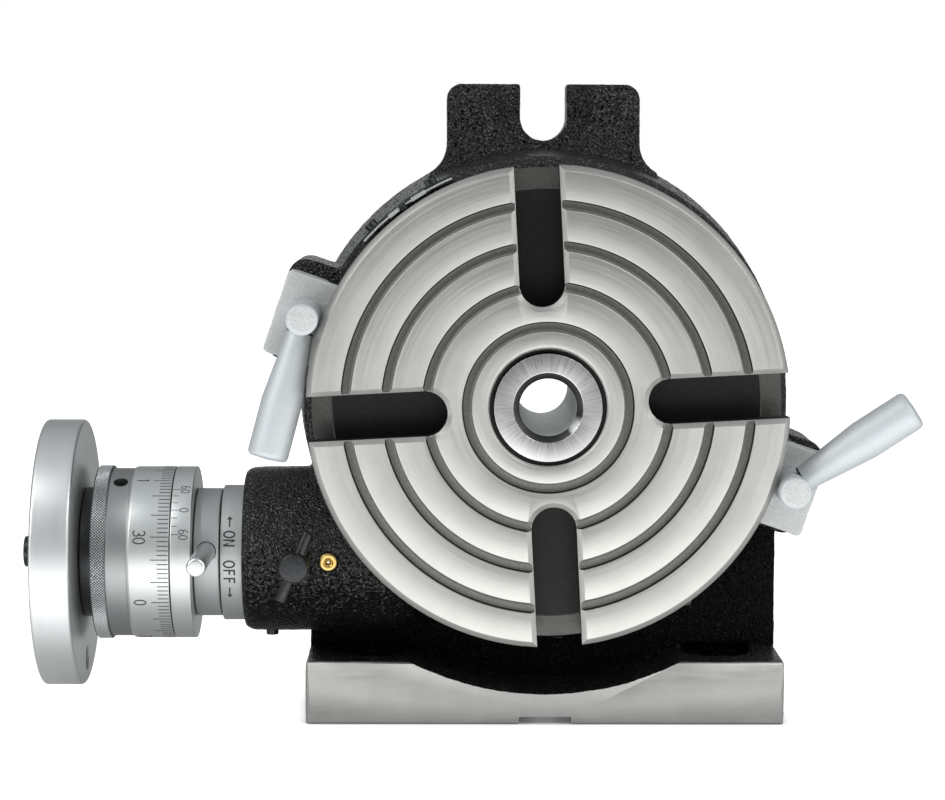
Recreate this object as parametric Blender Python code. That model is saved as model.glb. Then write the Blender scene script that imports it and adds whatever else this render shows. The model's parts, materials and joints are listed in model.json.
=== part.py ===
"""Six-inch horizontal and vertical rotary table with a 90:1 worm drive, standing on its foot.

Metres, +Z up. The object stands on Z = 0, centred in X and Y. Dimensions below are millimetres in the
table's own frame: X to the right, Y from the table's face back into the base, Z up, zero on the table axis
in the plane of the face. The empty table_axis places that frame in the world.
"""

import math

import bmesh
import bpy
from mathutils import Matrix, Vector

MM = 0.001
TAU = 2 * math.pi
GAP = 0.3  # between pieces that touch on the real object

# Where the table axis lies
AXIS_HEIGHT = 103.05
AXIS_X = 25.9
FACE_Y = -39.5

# Table
TABLE_R = 75.0
TABLE_TURN = math.radians(3.0)  # the table stands a little off square, anticlockwise from the front
RIM_EDGE = 1.8
SCALE_R = 73.9  # the band that carries the degree scale
SCALE_FROM = 13.0
SCALE_TO = 20.0
CLAMP_GROOVE_R = 67.0
FLANGE_R = 72.5
FLANGE_FROM = 24.9
TABLE_BACK = 30.0
GROOVE_RADII = (25.0, 37.5, 50.0, 62.5)
GROOVE_HALF = 1.6
GROOVE_DEPTH = 1.3
SLOT_COUNT = 4
SLOT_HALF = 7.0
SLOT_EDGE = 1.5
SLOT_INNER = 38.0  # centre of the slot's round inner end
UNDERCUT_HALF = 11.0
UNDERCUT_FROM = 10.0
SLOT_FLOOR = 18.1
NOSE_R = 16.7
NOSE_RING_R = 17.9
NOSE_RING_DEPTH = 3.0
BORE_MOUTH_R = 10.9
BORE_R = 8.9
BORE_MOUTH_DEPTH = 2.0
HUB_R = 36.0
SEAT_R = 24.0  # the wheel's seat
JOURNAL_R = 21.9
JOURNAL_END = 73.0
THREAD_R = 20.0  # the table's threaded back end
TABLE_BORE_R = 17.0
TABLE_END = 83.0
NUT_R = 30.0
NUT_Y = (73.8, 81.8)
SPANNER_HALF = 2.5
SPANNER_DEPTH = 3.0
SET_SCREW_R = 1.5
WHEEL_SCREWS = 4
WHEEL_SCREW_CIRCLE = 31.0
WHEEL_SCREW_R = 1.6
WHEEL_SCREW_HEAD_R = 3.6
WHEEL_SCREW_SEAT = 4.0

# Worm gear, module 1
MODULE = 1.0
TEETH = 90
CENTRE_DISTANCE = 51.07
WHEEL_PITCH_R = MODULE * TEETH / 2
WORM_PITCH_R = CENTRE_DISTANCE - WHEEL_PITCH_R
PITCH = math.pi * MODULE
ADDENDUM = 1.0 * MODULE
DEDENDUM = 1.25 * MODULE
TOOTH_WIDTH = 1.28  # both thinner than half the pitch, for backlash
THREAD_WIDTH = 1.18
FLANK = math.tan(math.radians(20))
WORM_Y = 46.0
WHEEL_HALF = 6.0
WORM_HALF = 14.0

# Eccentric sleeve, which throws the worm out of mesh
ECCENTRICITY = 2.8
ECCENTRIC_REST = math.radians(170)  # worm axis about the sleeve axis, from +Y towards +Z
SLEEVE_R = 17.2
SLEEVE_INNER_END = 48.0
WINDOW_HALF = 33.0
WINDOW_FACING = math.radians(65)

# Stations along the worm axis
FLANGE_X = (-112.0, -104.0)
FLANGE_OUT_R = 20.7
COLLAR_X = (-103.7, -96.7)
COLLAR_R = 21.95
VERNIER_X = (-118.8, -112.3)
DIAL_X = (-144.2, -119.1)
DIAL_R = 27.8
DIAL_BAND_X = (-139.2, -132.2)
DIAL_BAND_R = 27.2
KNURL_R = 28.1
DIAL_SCREW_ANGLE = math.radians(62.5)  # above the front
SPACER_X = (-148.3, -144.5)
SPACER_R = 21.0
HANDWHEEL_X = (-161.2, -148.6)
HANDWHEEL_R = 43.0
HANDLE_HOLE_R = 3.85
HANDLE_HOLE_AT = 35.0
BOLT_HEAD_X = (-168.5, -161.5)
BOLT_HEAD_R = 5.0
SHAFT_R = 7.4
SHAFT_COLLAR_X = (-116.7, -112.4)
SHAFT_COLLAR_R = 12.5
SHAFT_INNER_END = 46.5
TAIL_R = 4.6
STUB_R = 4.0
STUB_END = -160.6
KEY_X = (-159.8, -151.3)
KEY_Z = (3.0, 5.9)
KEY_HALF = 0.9
BOLT_R = 1.9
BOLT_END = -147.0
BOLT_SOCKET_R = 2.5
DIAL_SCREW_R = 2.0
THRUST_X = (-111.9, -105.8)
THRUST_ROOM_R = 13.0
WORM_ROOM_R = 8.6

# Base casting
BACK = 84.0
DRUM_R = 81.0
DRUM_FRONT_R = 77.4  # the drum is cast with draft, widest at the back
DRUM_FRONT = 34.0
SHOULDER_R = 75.4
SHOULDER_FRONT = 27.0
BOWL_R = 72.8
GEAR_ROOM_R = 50.0
GEAR_ROOM_BACK = 58.0
BEARING_R = 25.3
NUT_ROOM_R = 33.0
NUT_ROOM_FRONT = 71.0
BLOCK_HALF = 76.2
BLOCK_FRONT = 53.4
BLOCK_TOP = -27.0
FOOT_HALF = 76.3
FOOT_FRONT = 22.4
FOOT_TOP = -83.1
FOOT_DIP_R = 93.5
KEYWAY_HALF = 8.3
KEYWAY_DEPTH = 2.3
FOOT_SLOT_AT = 56.3
FOOT_SLOT_HALF = 6.5
FOOT_SLOT_ENDS = (45.7, 56.0)  # centres of the slot's round ends, in Y
POCKET_HALF = 11.0  # the nut's recess round each slot
POCKET_FLOOR = -92.0
LUG_HALF = 31.7
LUG_TOP = 101.0
LUG_FRONT = 64.0
LUG_CORNER = 5.0
LUG_FILLET = 11.0
LUG_SLOT_HALF = 7.6
LUG_SLOT_END = 90.0
LUG_FACE_HALF = 14.0
LUG_FACE_DEPTH = 2.5
BOSS_R = 26.7
BOSS_Y = 47.6
BOSS_Z = -50.0
BOSS_END = -96.4
TUNNEL_R = 17.5
TUNNEL_END = 49.0

# Table clamps
CLAMP_ANGLES = {"left": math.radians(161.2), "right": math.radians(-19.4)}
CLAMP_R = 80.4
CLAMP_SCREW_SHIFT = {"left": -1.4, "right": 0.9}  # from the plate's middle, along its width
PLATE_FRONT = 20.5
PLATE_TONGUE = 24.5
PLATE_BACK = 33.0
PLATE_HALF = 13.65
PLATE_OUT = 90.0
PLATE_STEP = 76.4
PLATE_IN = 67.8
CLAMP_BOSS_SIDES = {"left": (-18.0, 15.5), "right": (-15.5, 15.5)}
CLAMP_BOSS_OUT = 90.5
CLAMP_BOSS_FRONT = 33.4
CLAMP_BOSS_BACK = 70.0
HUB_FRONT = -5.0
LEVER_Y = 12.0
LEVER_TILT = math.radians(7.0)
LEVER_ANGLES = {"left": math.radians(255.3), "right": math.radians(34.1)}
LEVER_LENGTH = 45.8
LEVER_KNEE = 27.0
LEVER_ROOT_R = 2.2
LEVER_NECK_R = 4.2
LEVER_R = 6.4
KNOB_R = 4.9
STUD_R = 3.0
STUD_END = 58.0

# Small fittings on the base
LOCK_AT = (-79.1, -51.3)
LOCK_BAR_ANGLE = math.radians(67.5)
LOCK_Y = (8.0, 18.2, 31.0)  # head front, neck, back
LOCK_HEAD_R = 4.7
LOCK_R = 2.9
LOCK_BAR_R = 1.9
LOCK_BAR_LENGTH = 23.5
OILER_AT = (-68.8, -50.9)
OILER_Y = (20.2, 27.6)
OILER_R = 2.9
OILER_BALL_R = 1.05
OILER_BALL_Y = 21.85
INDEX_R = 76.2
INDEX_THICKNESS = 1.0
INDEX_Y = (14.5, 33.0)
INDEX_NOTCH_HALF = 2.45
INDEX_ANGLES = (math.radians(113.0), math.radians(138.4))
INDEX_SCREW_ANGLES = (math.radians(118.0), math.radians(135.0))
INDEX_SCREW_Y = 30.6
INDEX_SCREW_R = 1.05
INDEX_SCREW_HEAD_R = 2.0
INDEX_SCREW_ROOT = 73.7
PLUG_X = -88.4
PLUG_Z = (-78.6, -69.6)
PLUG_R = 2.0
CAM_PIN_X = -107.9
CAM_PIN_Z = -48.3
CAM_PIN_TIP = -10.0
CAM_PIN_ROOT = 32.0
CAM_PIN_R = 3.0

WORM_Z = -CENTRE_DISTANCE
SLEEVE_Y = WORM_Y - ECCENTRICITY * math.cos(ECCENTRIC_REST)
SLEEVE_Z = WORM_Z - ECCENTRICITY * math.sin(ECCENTRIC_REST)

# Name: colour, metallic, roughness
FINISHES = {
    "black_casting": ((0.012, 0.012, 0.012), 0.0, 0.45),
    "machined_iron": ((0.50, 0.50, 0.47), 0.9, 0.38),
    "satin_steel": ((0.55, 0.56, 0.56), 1.0, 0.32),
    "black_oxide": ((0.03, 0.03, 0.03), 0.8, 0.4),
    "silver_paint": ((0.50, 0.53, 0.55), 0.5, 0.4),
    "silver_rough_paint": ((0.48, 0.49, 0.48), 0.4, 0.6),
    "brass": ((0.65, 0.47, 0.17), 1.0, 0.3),
    "bronze": ((0.55, 0.33, 0.14), 1.0, 0.35),
    "spindle_steel": ((0.62, 0.62, 0.60), 1.0, 0.25),
    "aluminium": ((0.70, 0.71, 0.72), 1.0, 0.35),
    "spring_steel": ((0.4, 0.4, 0.4), 1.0, 0.35),
}

ALONG_Y = (-math.pi / 2, 0, 0)  # turns a piece's own Z axis to +Y, with its X kept
ALONG_X = (0, math.pi / 2, 0)  # turns a piece's own Z axis to +X


def clear_scene():
    for obj in list(bpy.data.objects):
        bpy.data.objects.remove(obj, do_unlink=True)


def make_material(name):
    colour, metallic, roughness = FINISHES[name]
    material = bpy.data.materials.new(name)
    material.use_nodes = True
    shader = material.node_tree.nodes["Principled BSDF"]
    shader.inputs["Base Color"].default_value = (*colour, 1)
    shader.inputs["Metallic"].default_value = metallic
    shader.inputs["Roughness"].default_value = roughness
    material.diffuse_color = (*colour, 1)
    return material


def material_of(name):
    return bpy.data.materials.get(name) or make_material(name)


def empty(name, place, turn=(0, 0, 0), parent=None):
    """A frame for the pieces on one axis, placed in millimetres in its parent's frame."""
    frame = bpy.data.objects.new(name, None)
    frame.empty_display_size = 0.02
    frame.location = Vector(place) * MM
    frame.rotation_euler = turn
    frame.parent = parent
    bpy.context.scene.collection.objects.link(frame)
    return frame


def add(name, bm, finish, parent, place=(0, 0, 0), turn=(0, 0, 0)):
    """A named piece from a bmesh in millimetres."""
    bmesh.ops.scale(bm, vec=(MM, MM, MM), verts=bm.verts)
    mesh = bpy.data.meshes.new(name)
    bm.to_mesh(mesh)
    bm.free()
    mesh.shade_smooth()
    mesh.set_sharp_from_angle(angle=math.radians(35))
    mesh.materials.append(material_of(finish))
    obj = bpy.data.objects.new(name, mesh)
    obj.location = Vector(place) * MM
    obj.rotation_euler = turn
    obj.parent = parent
    bpy.context.scene.collection.objects.link(obj)
    return obj


def helper(name, bm, parent, place=(0, 0, 0), turn=(0, 0, 0)):
    """A body that only cuts or adds to another one."""
    obj = add(name, bm, "black_oxide", parent, place, turn)
    obj.hide_render = True
    obj.display_type = "WIRE"
    return obj


def combine(obj, other, operation):
    modifier = obj.modifiers.new(other.name, "BOOLEAN")
    modifier.operation = operation
    modifier.object = other
    modifier.solver = "EXACT"


def cut(obj, bm, parent, place=(0, 0, 0), turn=(0, 0, 0)):
    number = len(obj.modifiers)
    combine(obj, helper(f"{obj.name}_cut_{number}", bm, parent, place, turn), "DIFFERENCE")


def join(obj, bm, parent, place=(0, 0, 0), turn=(0, 0, 0)):
    number = len(obj.modifiers)
    combine(obj, helper(f"{obj.name}_add_{number}", bm, parent, place, turn), "UNION")


def lathe(outline, segments=32):
    """A turned body: (radius, height) points round its outline, turned about Z.

    The outline closes on itself, or starts and ends on the axis.
    """
    bm = bmesh.new()
    verts = [bm.verts.new((r, 0, z)) for r, z in outline]
    edges = [bm.edges.new(pair) for pair in zip(verts, verts[1:])]
    if outline[0][0] > 0:
        edges.append(bm.edges.new((verts[-1], verts[0])))
    turned = {"axis": (0, 0, 1), "cent": (0, 0, 0), "angle": TAU, "steps": segments, "use_merge": True}
    bmesh.ops.spin(bm, geom=verts + edges, **turned)
    bmesh.ops.remove_doubles(bm, verts=bm.verts, dist=1e-5)
    bmesh.ops.recalc_face_normals(bm, faces=bm.faces)
    return bm


def rod(radius, low, high, segments=24, edge=0.0):
    """A plain cylinder along Z, with its ends bevelled by edge."""
    side = [(radius, low + edge), (radius, high - edge)]
    if edge:
        side = [(radius - edge, low), *side, (radius - edge, high)]
    return lathe([(0, low), *side, (0, high)], segments)


def ring(inner, outer, low, high, segments=32):
    return lathe([(inner, low), (outer, low), (outer, high), (inner, high)], segments)


def loft(rings):
    """A closed body through rings of points, each ring a list of (x, y, z)."""
    bm = bmesh.new()
    rows = [[bm.verts.new(p) for p in points] for points in rings]
    for low, high in zip(rows, rows[1:]):
        for i in range(len(low)):
            j = (i + 1) % len(low)
            bm.faces.new((low[i], low[j], high[j], high[i]))
    bm.faces.new(reversed(rows[0]))
    bm.faces.new(rows[-1])
    bmesh.ops.recalc_face_normals(bm, faces=bm.faces)
    return bm


def prism(outline, low, high):
    """A body of one (x, z) outline, from y = low to y = high."""
    return loft([[(x, y, z) for x, z in outline] for y in (low, high)])


def box(low, high):
    (x0, y0, z0), (x1, y1, z1) = low, high
    return prism([(x0, z0), (x1, z0), (x1, z1), (x0, z1)], y0, y1)


def arc(centre, radius, start, end, steps):
    """Points on an arc, both ends included, angles in radians."""
    angles = [start + (end - start) * i / steps for i in range(steps + 1)]
    return [(centre[0] + radius * math.cos(a), centre[1] + radius * math.sin(a)) for a in angles]


def u_outline(half, end, far, steps=10):
    """An (x, z) slot with a round end centred at z = end, running out to z = far."""
    sign = math.copysign(1, far - end)
    round_end = arc((0, end), half, 0, -sign * math.pi, steps)
    return [(half, far), *round_end, (-half, far)]


def long_hole(half, first, last, steps=10):
    """A slot's outline with a round end centred at each of two places along its second axis."""
    return arc((0, first), half, -math.pi, 0, steps) + arc((0, last), half, 0, math.pi, steps)


# ---------------------------------------------------------------- table and spindle


def table_outline():
    """(radius, depth) of the table, from the bore's back out along the face and round."""
    face = [(TABLE_BORE_R, TABLE_END), (TABLE_BORE_R, NOSE_RING_DEPTH), (NOSE_RING_R, NOSE_RING_DEPTH)]
    face += [(NOSE_RING_R, 0)]
    for radius in GROOVE_RADII:
        face += [(radius - GROOVE_HALF, 0), (radius, GROOVE_DEPTH), (radius + GROOVE_HALF, 0)]
    rim = [(TABLE_R - RIM_EDGE, 0), (TABLE_R, RIM_EDGE), (TABLE_R, SCALE_FROM), (SCALE_R, SCALE_FROM)]
    clamp = [(SCALE_R, SCALE_TO), (CLAMP_GROOVE_R, SCALE_TO), (CLAMP_GROOVE_R, FLANGE_FROM)]
    clamp += [(FLANGE_R, FLANGE_FROM), (FLANGE_R, TABLE_BACK)]
    hub_end = WORM_Y - WHEEL_HALF - GAP
    hub = [(HUB_R, TABLE_BACK), (HUB_R, hub_end), (SEAT_R, hub_end), (SEAT_R, WORM_Y + WHEEL_HALF)]
    journal = [(JOURNAL_R, WORM_Y + WHEEL_HALF), (JOURNAL_R, JOURNAL_END), (THREAD_R, JOURNAL_END)]
    journal += [(THREAD_R, TABLE_END)]
    return face + rim + clamp + hub + journal


def slot_ring(half, depth):
    """One slot's outline at one depth, from its round inner end out past the rim, along +X."""
    inner = arc((SLOT_INNER, 0), half, math.pi / 2, 1.5 * math.pi, 10)
    return [(x, z, depth) for x, z in [(TABLE_R + 5, half), *inner, (TABLE_R + 5, -half)]]


def wheel_screw_places():
    angles = [(i + 0.5) * TAU / WHEEL_SCREWS for i in range(WHEEL_SCREWS)]
    return [(WHEEL_SCREW_CIRCLE * math.cos(a), 0, WHEEL_SCREW_CIRCLE * math.sin(a)) for a in angles]


def make_table(frame):
    table = add("table", lathe(table_outline(), 48), "machined_iron", frame, turn=ALONG_Y)
    for i in range(SLOT_COUNT):
        turn = Matrix.Rotation(i * TAU / SLOT_COUNT, 4, "Z")
        mouth = [slot_ring(SLOT_HALF + SLOT_EDGE + 1, -1), slot_ring(SLOT_HALF, SLOT_EDGE)]
        throat = loft([*mouth, slot_ring(SLOT_HALF, UNDERCUT_FROM + 4)])
        undercut = loft([slot_ring(UNDERCUT_HALF, UNDERCUT_FROM), slot_ring(UNDERCUT_HALF, SLOT_FLOOR)])
        for bm in (throat, undercut):
            bm.transform(turn)
            cut(table, bm, frame, turn=ALONG_Y)
    hole_end = WORM_Y - 4
    for place in wheel_screw_places():
        cut(table, rod(WHEEL_SCREW_R + GAP, TABLE_BACK + 3.5, hole_end, 12), frame.parent, place, ALONG_Y)
    return table


def make_spindle(frame):
    nose = [(BORE_R, BACK), (BORE_R, BORE_MOUTH_DEPTH), (BORE_MOUTH_R, 0), (NOSE_R, 0), (NOSE_R, BACK)]
    add("spindle_sleeve", lathe(nose, 32), "spindle_steel", frame, turn=ALONG_Y)
    front, back = NUT_Y
    body = ring(THREAD_R + GAP, NUT_R, front, back, 32)
    nut = add("spindle_locknut", body, "black_oxide", frame, turn=ALONG_Y)
    wide, half = NUT_R + 10, SPANNER_HALF
    for i in range(2):
        spanner = box((-wide, back - SPANNER_DEPTH, -half), (wide, back + 1, half))
        cut(nut, spanner, frame, turn=(0, i * TAU / 4, 0))
    place, turn = (0, front + 2.6, 0), (0, TAU / 8, 0)
    cut(nut, rod(SET_SCREW_R + GAP, THREAD_R - 2, NUT_R + 2, 12), frame, place, turn)
    screw = rod(SET_SCREW_R, THREAD_R + 2, NUT_R - 1.5, 12)
    add("locknut_set_screw", screw, "black_oxide", frame, place, turn)


# ---------------------------------------------------------------- worm gear


def wheel_ring(y):
    """The wheel's tooth outline at one depth. The teeth lean with the worm's lead angle."""
    lead = PITCH / (TAU * WORM_PITCH_R)
    twist = -(y - WORM_Y) * lead / WHEEL_PITCH_R
    points = []
    for i in range(TEETH):
        middle = -TAU / 4 + i * TAU / TEETH + twist
        for radius, side in ((-DEDENDUM, -1), (ADDENDUM, -1), (ADDENDUM, 1), (-DEDENDUM, 1)):
            half = TOOTH_WIDTH / 2 - radius * FLANK
            r = WHEEL_PITCH_R + radius
            a = middle + side * half / WHEEL_PITCH_R
            points.append((r * math.cos(a), y, r * math.sin(a)))
    return points


def make_wheel(frame):
    front, back = WORM_Y - WHEEL_HALF, WORM_Y + WHEEL_HALF
    wheel = add("worm_wheel", loft([wheel_ring(front), wheel_ring(back)]), "bronze", frame)
    cut(wheel, rod(SEAT_R + GAP, front - 5, back + 5, 48), frame, turn=ALONG_Y)
    seat, head = back - WHEEL_SCREW_SEAT, back - WHEEL_SCREW_SEAT + GAP
    hole_r, room_r = WHEEL_SCREW_R + 2 * GAP, WHEEL_SCREW_HEAD_R + 0.4
    for i, place in enumerate(wheel_screw_places()):
        stepped = [(0, front - 2), (hole_r, front - 2), (hole_r, seat), (room_r, seat), (room_r, back + 2)]
        cut(wheel, lathe([*stepped, (0, back + 2)], 16), frame, place, ALONG_Y)
        screw = [(0, TABLE_BACK + 4), (WHEEL_SCREW_R, TABLE_BACK + 4), (WHEEL_SCREW_R, head)]
        screw += [(WHEEL_SCREW_HEAD_R, head), (WHEEL_SCREW_HEAD_R, back - 0.4), (0, back - 0.4)]
        add(f"wheel_screw_{i + 1}", lathe(screw, 12), "black_oxide", frame, place, ALONG_Y)


def worm_thread():
    """A right-handed trapezium thread about Z, its roots sunk in the shaft."""
    turns = 2 * WORM_HALF / PITCH - 0.8
    per_turn = 12
    steps = round(turns * per_turn)
    root, crest = WORM_PITCH_R - DEDENDUM - 0.6, WORM_PITCH_R + ADDENDUM
    rings = []
    for i in range(steps + 1):
        turn = TAU * (i / steps - 0.5) * turns
        height = PITCH * turn / TAU
        ring_points = []
        for radius, side in ((root, -1), (crest, -1), (crest, 1), (root, 1)):
            half = THREAD_WIDTH / 2 - (radius - WORM_PITCH_R) * FLANK
            point = Vector((radius * math.cos(turn), radius * math.sin(turn), height + side * half))
            ring_points.append(point)
        rings.append(ring_points)
    return loft(rings)


def worm_shaft_outline():
    """(radius, X station) of the shaft, from its inner end to the handwheel."""
    core = WORM_PITCH_R - DEDENDUM
    inner = [(0, SHAFT_INNER_END), (TAIL_R, SHAFT_INNER_END), (TAIL_R, WORM_HALF), (core, WORM_HALF)]
    inner += [(core, -WORM_HALF), (TAIL_R, -WORM_HALF - 2), (TAIL_R, -31), (SHAFT_R, -34)]
    shoulder = [(SHAFT_R, SHAFT_COLLAR_X[1]), (SHAFT_COLLAR_R, SHAFT_COLLAR_X[1])]
    shoulder += [(SHAFT_COLLAR_R, SHAFT_COLLAR_X[0]), (SHAFT_R, SHAFT_COLLAR_X[0])]
    stub = [(SHAFT_R, SPACER_X[0] - GAP), (STUB_R, SPACER_X[0] - GAP), (STUB_R, STUB_END), (0, STUB_END)]
    return inner + shoulder + stub


def make_worm_shaft(frame):
    shaft = add("worm_shaft", lathe(worm_shaft_outline(), 20), "satin_steel", frame, turn=ALONG_X)
    join(shaft, worm_thread(), frame, turn=ALONG_X)
    cut(shaft, rod(BOLT_R + GAP, STUB_END - 2, BOLT_END + 1, 12), frame, turn=ALONG_X)
    (left, right), (low, high) = KEY_X, KEY_Z
    half = KEY_HALF + GAP
    cut(shaft, box((left - 0.2, -half, low - 0.4), (right + GAP, half, high)), frame)
    return shaft


# ---------------------------------------------------------------- eccentric sleeve


def make_eccentric_sleeve(frame, worm_frame):
    barrel = rod(SLEEVE_R, FLANGE_X[1] + GAP, SLEEVE_INNER_END, 32, 0.8)
    sleeve = add("eccentric_sleeve", barrel, "satin_steel", frame, turn=ALONG_X)
    join(sleeve, rod(FLANGE_OUT_R, FLANGE_X[0], FLANGE_X[1], 32, 0.4), worm_frame, turn=ALONG_X)
    join(sleeve, rod(SLEEVE_R - 1, FLANGE_X[1] - 2, FLANGE_X[1] + 3, 32), frame, turn=ALONG_X)
    far, inner_r = 60, TAIL_R + GAP
    room_r, room_end = THRUST_ROOM_R, THRUST_X[1] + GAP
    bore = [(0, -2 * far), (room_r, -2 * far), (room_r, room_end), (SHAFT_R + GAP, room_end)]
    bore += [(SHAFT_R + GAP, -WINDOW_HALF - 1), (WORM_ROOM_R, -WINDOW_HALF), (WORM_ROOM_R, WINDOW_HALF - 0.5)]
    bore += [(inner_r, WINDOW_HALF), (inner_r, far), (0, far)]
    cut(sleeve, lathe(bore, 24), worm_frame, turn=ALONG_X)
    window = box((-WINDOW_HALF, -1.5, -30), (WINDOW_HALF, 30, 30))
    cut(sleeve, window, frame, turn=(WINDOW_FACING, 0, 0))
    pin_hole = rod(CAM_PIN_R + 0.2, CAM_PIN_TIP, CAM_PIN_ROOT + GAP, 16)
    cut(sleeve, pin_hole, frame.parent, (CAM_PIN_X, 0, CAM_PIN_Z), ALONG_Y)
    return sleeve


def make_sleeve_fittings(frame, worm_frame):
    tip, root, edge = CAM_PIN_TIP, CAM_PIN_ROOT, 0.6
    pin = [(0, tip), (CAM_PIN_R - edge, tip), (CAM_PIN_R, tip + edge), (CAM_PIN_R, root), (0, root)]
    add("cam_lever", lathe(pin, 24), "satin_steel", frame.parent, (CAM_PIN_X, 0, CAM_PIN_Z), ALONG_Y)
    left, right = VERNIER_X
    hub_r, room_r, wall = SHAFT_R + 1.1, SHAFT_COLLAR_R + 0.7, left + 1.7
    outline = [(hub_r, left), (DIAL_R, left), (DIAL_R, right - 0.4), (DIAL_R - 0.4, right)]
    outline += [(room_r, right), (room_r, wall), (hub_r, wall)]
    add("vernier_ring", lathe(outline, 32), "satin_steel", worm_frame, turn=ALONG_X)
    bearing = ring(SHAFT_R + GAP, THRUST_ROOM_R - GAP, *THRUST_X, 20)
    add("thrust_bearing", bearing, "satin_steel", worm_frame, turn=ALONG_X)


# ---------------------------------------------------------------- dial and handwheel


def make_dial(frame):
    left, right = DIAL_X
    band_left, band_right = DIAL_BAND_X
    outer = [(DIAL_R, right), (DIAL_R, band_right), (DIAL_BAND_R, band_right), (DIAL_BAND_R, band_left)]
    knurl = [(KNURL_R, band_left), (KNURL_R, left + 0.5), (KNURL_R - 0.5, left)]
    web, room_r = right - 9.9, 20
    inner = [(SHAFT_R + GAP, left), (SHAFT_R + GAP, web), (room_r, web), (room_r, right)]
    dial = add("dial_barrel", lathe(outer + knurl + inner, 32), "satin_steel", frame, turn=ALONG_X)
    middle = (band_left + band_right) / 2
    hole_frame = empty("dial_screw_axis", (middle, 0, 0), (TAU / 4 - DIAL_SCREW_ANGLE, 0, 0), frame)
    cut(dial, rod(DIAL_SCREW_R + 0.35, 7, 30, 16), hole_frame)
    add("dial_set_screw", rod(DIAL_SCREW_R, SHAFT_R + 0.5, 23, 12), "black_oxide", hole_frame)


def make_handwheel(frame):
    left, right = HANDWHEEL_X
    edge = 1.0
    outline = [(STUB_R + GAP, left), (HANDWHEEL_R - edge, left), (HANDWHEEL_R, left + edge)]
    outline += [(HANDWHEEL_R, right - edge), (HANDWHEEL_R - edge, right), (STUB_R + GAP, right)]
    wheel = add("handwheel", lathe(outline, 40), "aluminium", frame, turn=ALONG_X)
    hole = rod(HANDLE_HOLE_R, left - 2, right + 2, 20)
    cut(wheel, hole, frame, (0, 0, -HANDLE_HOLE_AT), ALONG_X)
    half, (low, high) = KEY_HALF, KEY_Z
    cut(wheel, box((left + 1, -half - 0.4, 2), (right + 1.6, half + 0.4, high + 0.4)), frame)
    add("handwheel_key", box((KEY_X[0], -half, low), (KEY_X[1], half, high)), "spring_steel", frame)
    spacer = ring(SHAFT_R + GAP, SPACER_R, *SPACER_X, 32)
    add("dial_spacer", spacer, "black_oxide", frame, turn=ALONG_X)
    left, right = BOLT_HEAD_X
    screw = [(0, left), (BOLT_HEAD_R - 0.5, left), (BOLT_HEAD_R, left + 0.5), (BOLT_HEAD_R, right)]
    screw += [(BOLT_R, right), (BOLT_R, BOLT_END), (0, BOLT_END)]
    bolt = add("handwheel_bolt", lathe(screw, 24), "black_oxide", frame, turn=ALONG_X)
    cut(bolt, rod(BOLT_SOCKET_R, left - 1, left + 3, 6), frame, turn=ALONG_X)


# ---------------------------------------------------------------- base casting


def lug_outline():
    """(x, z) of the top lug: rounded corners above, fillets into the drum below."""
    low = 60.0
    root = math.sqrt((DRUM_R + LUG_FILLET) ** 2 - (LUG_HALF + LUG_FILLET) ** 2)
    lean = math.atan2(root, LUG_HALF + LUG_FILLET)
    centre = (LUG_HALF + LUG_FILLET, root)
    fillet = arc(centre, LUG_FILLET, math.pi + lean, math.pi, 6)
    top = arc((LUG_HALF - LUG_CORNER, LUG_TOP - LUG_CORNER), LUG_CORNER, 0, math.pi / 2, 4)
    right = [(fillet[0][0] - 2, low - 8), *fillet, *top]
    return right + [(-x, z) for x, z in reversed(right)]


def make_casting(frame):
    front = [(0, DRUM_FRONT), (DRUM_FRONT_R - 1, DRUM_FRONT), (DRUM_FRONT_R, DRUM_FRONT + 1)]
    drum = lathe([*front, (DRUM_R, BACK - 1), (DRUM_R - 1, BACK), (0, BACK)], 48)
    casting = add("base_casting", drum, "black_casting", frame, turn=ALONG_Y)
    join(casting, rod(SHOULDER_R, SHOULDER_FRONT, DRUM_FRONT + 4, 48), frame, turn=ALONG_Y)
    block = box((-BLOCK_HALF, BLOCK_FRONT, FOOT_TOP - 4), (BLOCK_HALF, BACK - 0.05, BLOCK_TOP))
    join(casting, block, frame)
    foot = box((-FOOT_HALF, FOOT_FRONT, -AXIS_HEIGHT), (FOOT_HALF, BACK - 0.1, FOOT_TOP))
    join(casting, foot, frame)
    boss = rod(BOSS_R, BOSS_END, -42, 28, 2.5)
    join(casting, boss, frame, (0, BOSS_Y, BOSS_Z), ALONG_X)
    join(casting, prism(lug_outline(), LUG_FRONT, BACK - 0.15), frame)
    return casting


def shape_foot(casting, frame):
    front, inner = FOOT_FRONT - 4, DRUM_R + 0.4
    dip = lathe([(inner, front), (FOOT_DIP_R, front), (FOOT_DIP_R, BLOCK_FRONT), (inner, BLOCK_FRONT)], 60)
    keep_low = box((-120, 0, FOOT_TOP + 8), (120, 60, 120))
    cutter = helper("foot_dip", dip, frame, turn=ALONG_Y)
    combine(cutter, helper("foot_dip_limit", keep_low, frame), "DIFFERENCE")
    combine(casting, cutter, "DIFFERENCE")
    top = KEYWAY_DEPTH - AXIS_HEIGHT
    cut(casting, box((-KEYWAY_HALF, front, top - 10), (KEYWAY_HALF, BACK + 5, top)), frame)
    slot = (FOOT_SLOT_HALF, -AXIS_HEIGHT - 2, FOOT_TOP)
    pocket = (POCKET_HALF, POCKET_FLOOR, FOOT_TOP + 0.8)
    for side in (-1, 1):
        for half, low, high in (slot, pocket):
            outline = [(x + side * FOOT_SLOT_AT, y) for x, y in long_hole(half, *FOOT_SLOT_ENDS)]
            cut(casting, loft([[(x, y, z) for x, y in outline] for z in (low, high)]), frame)


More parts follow.
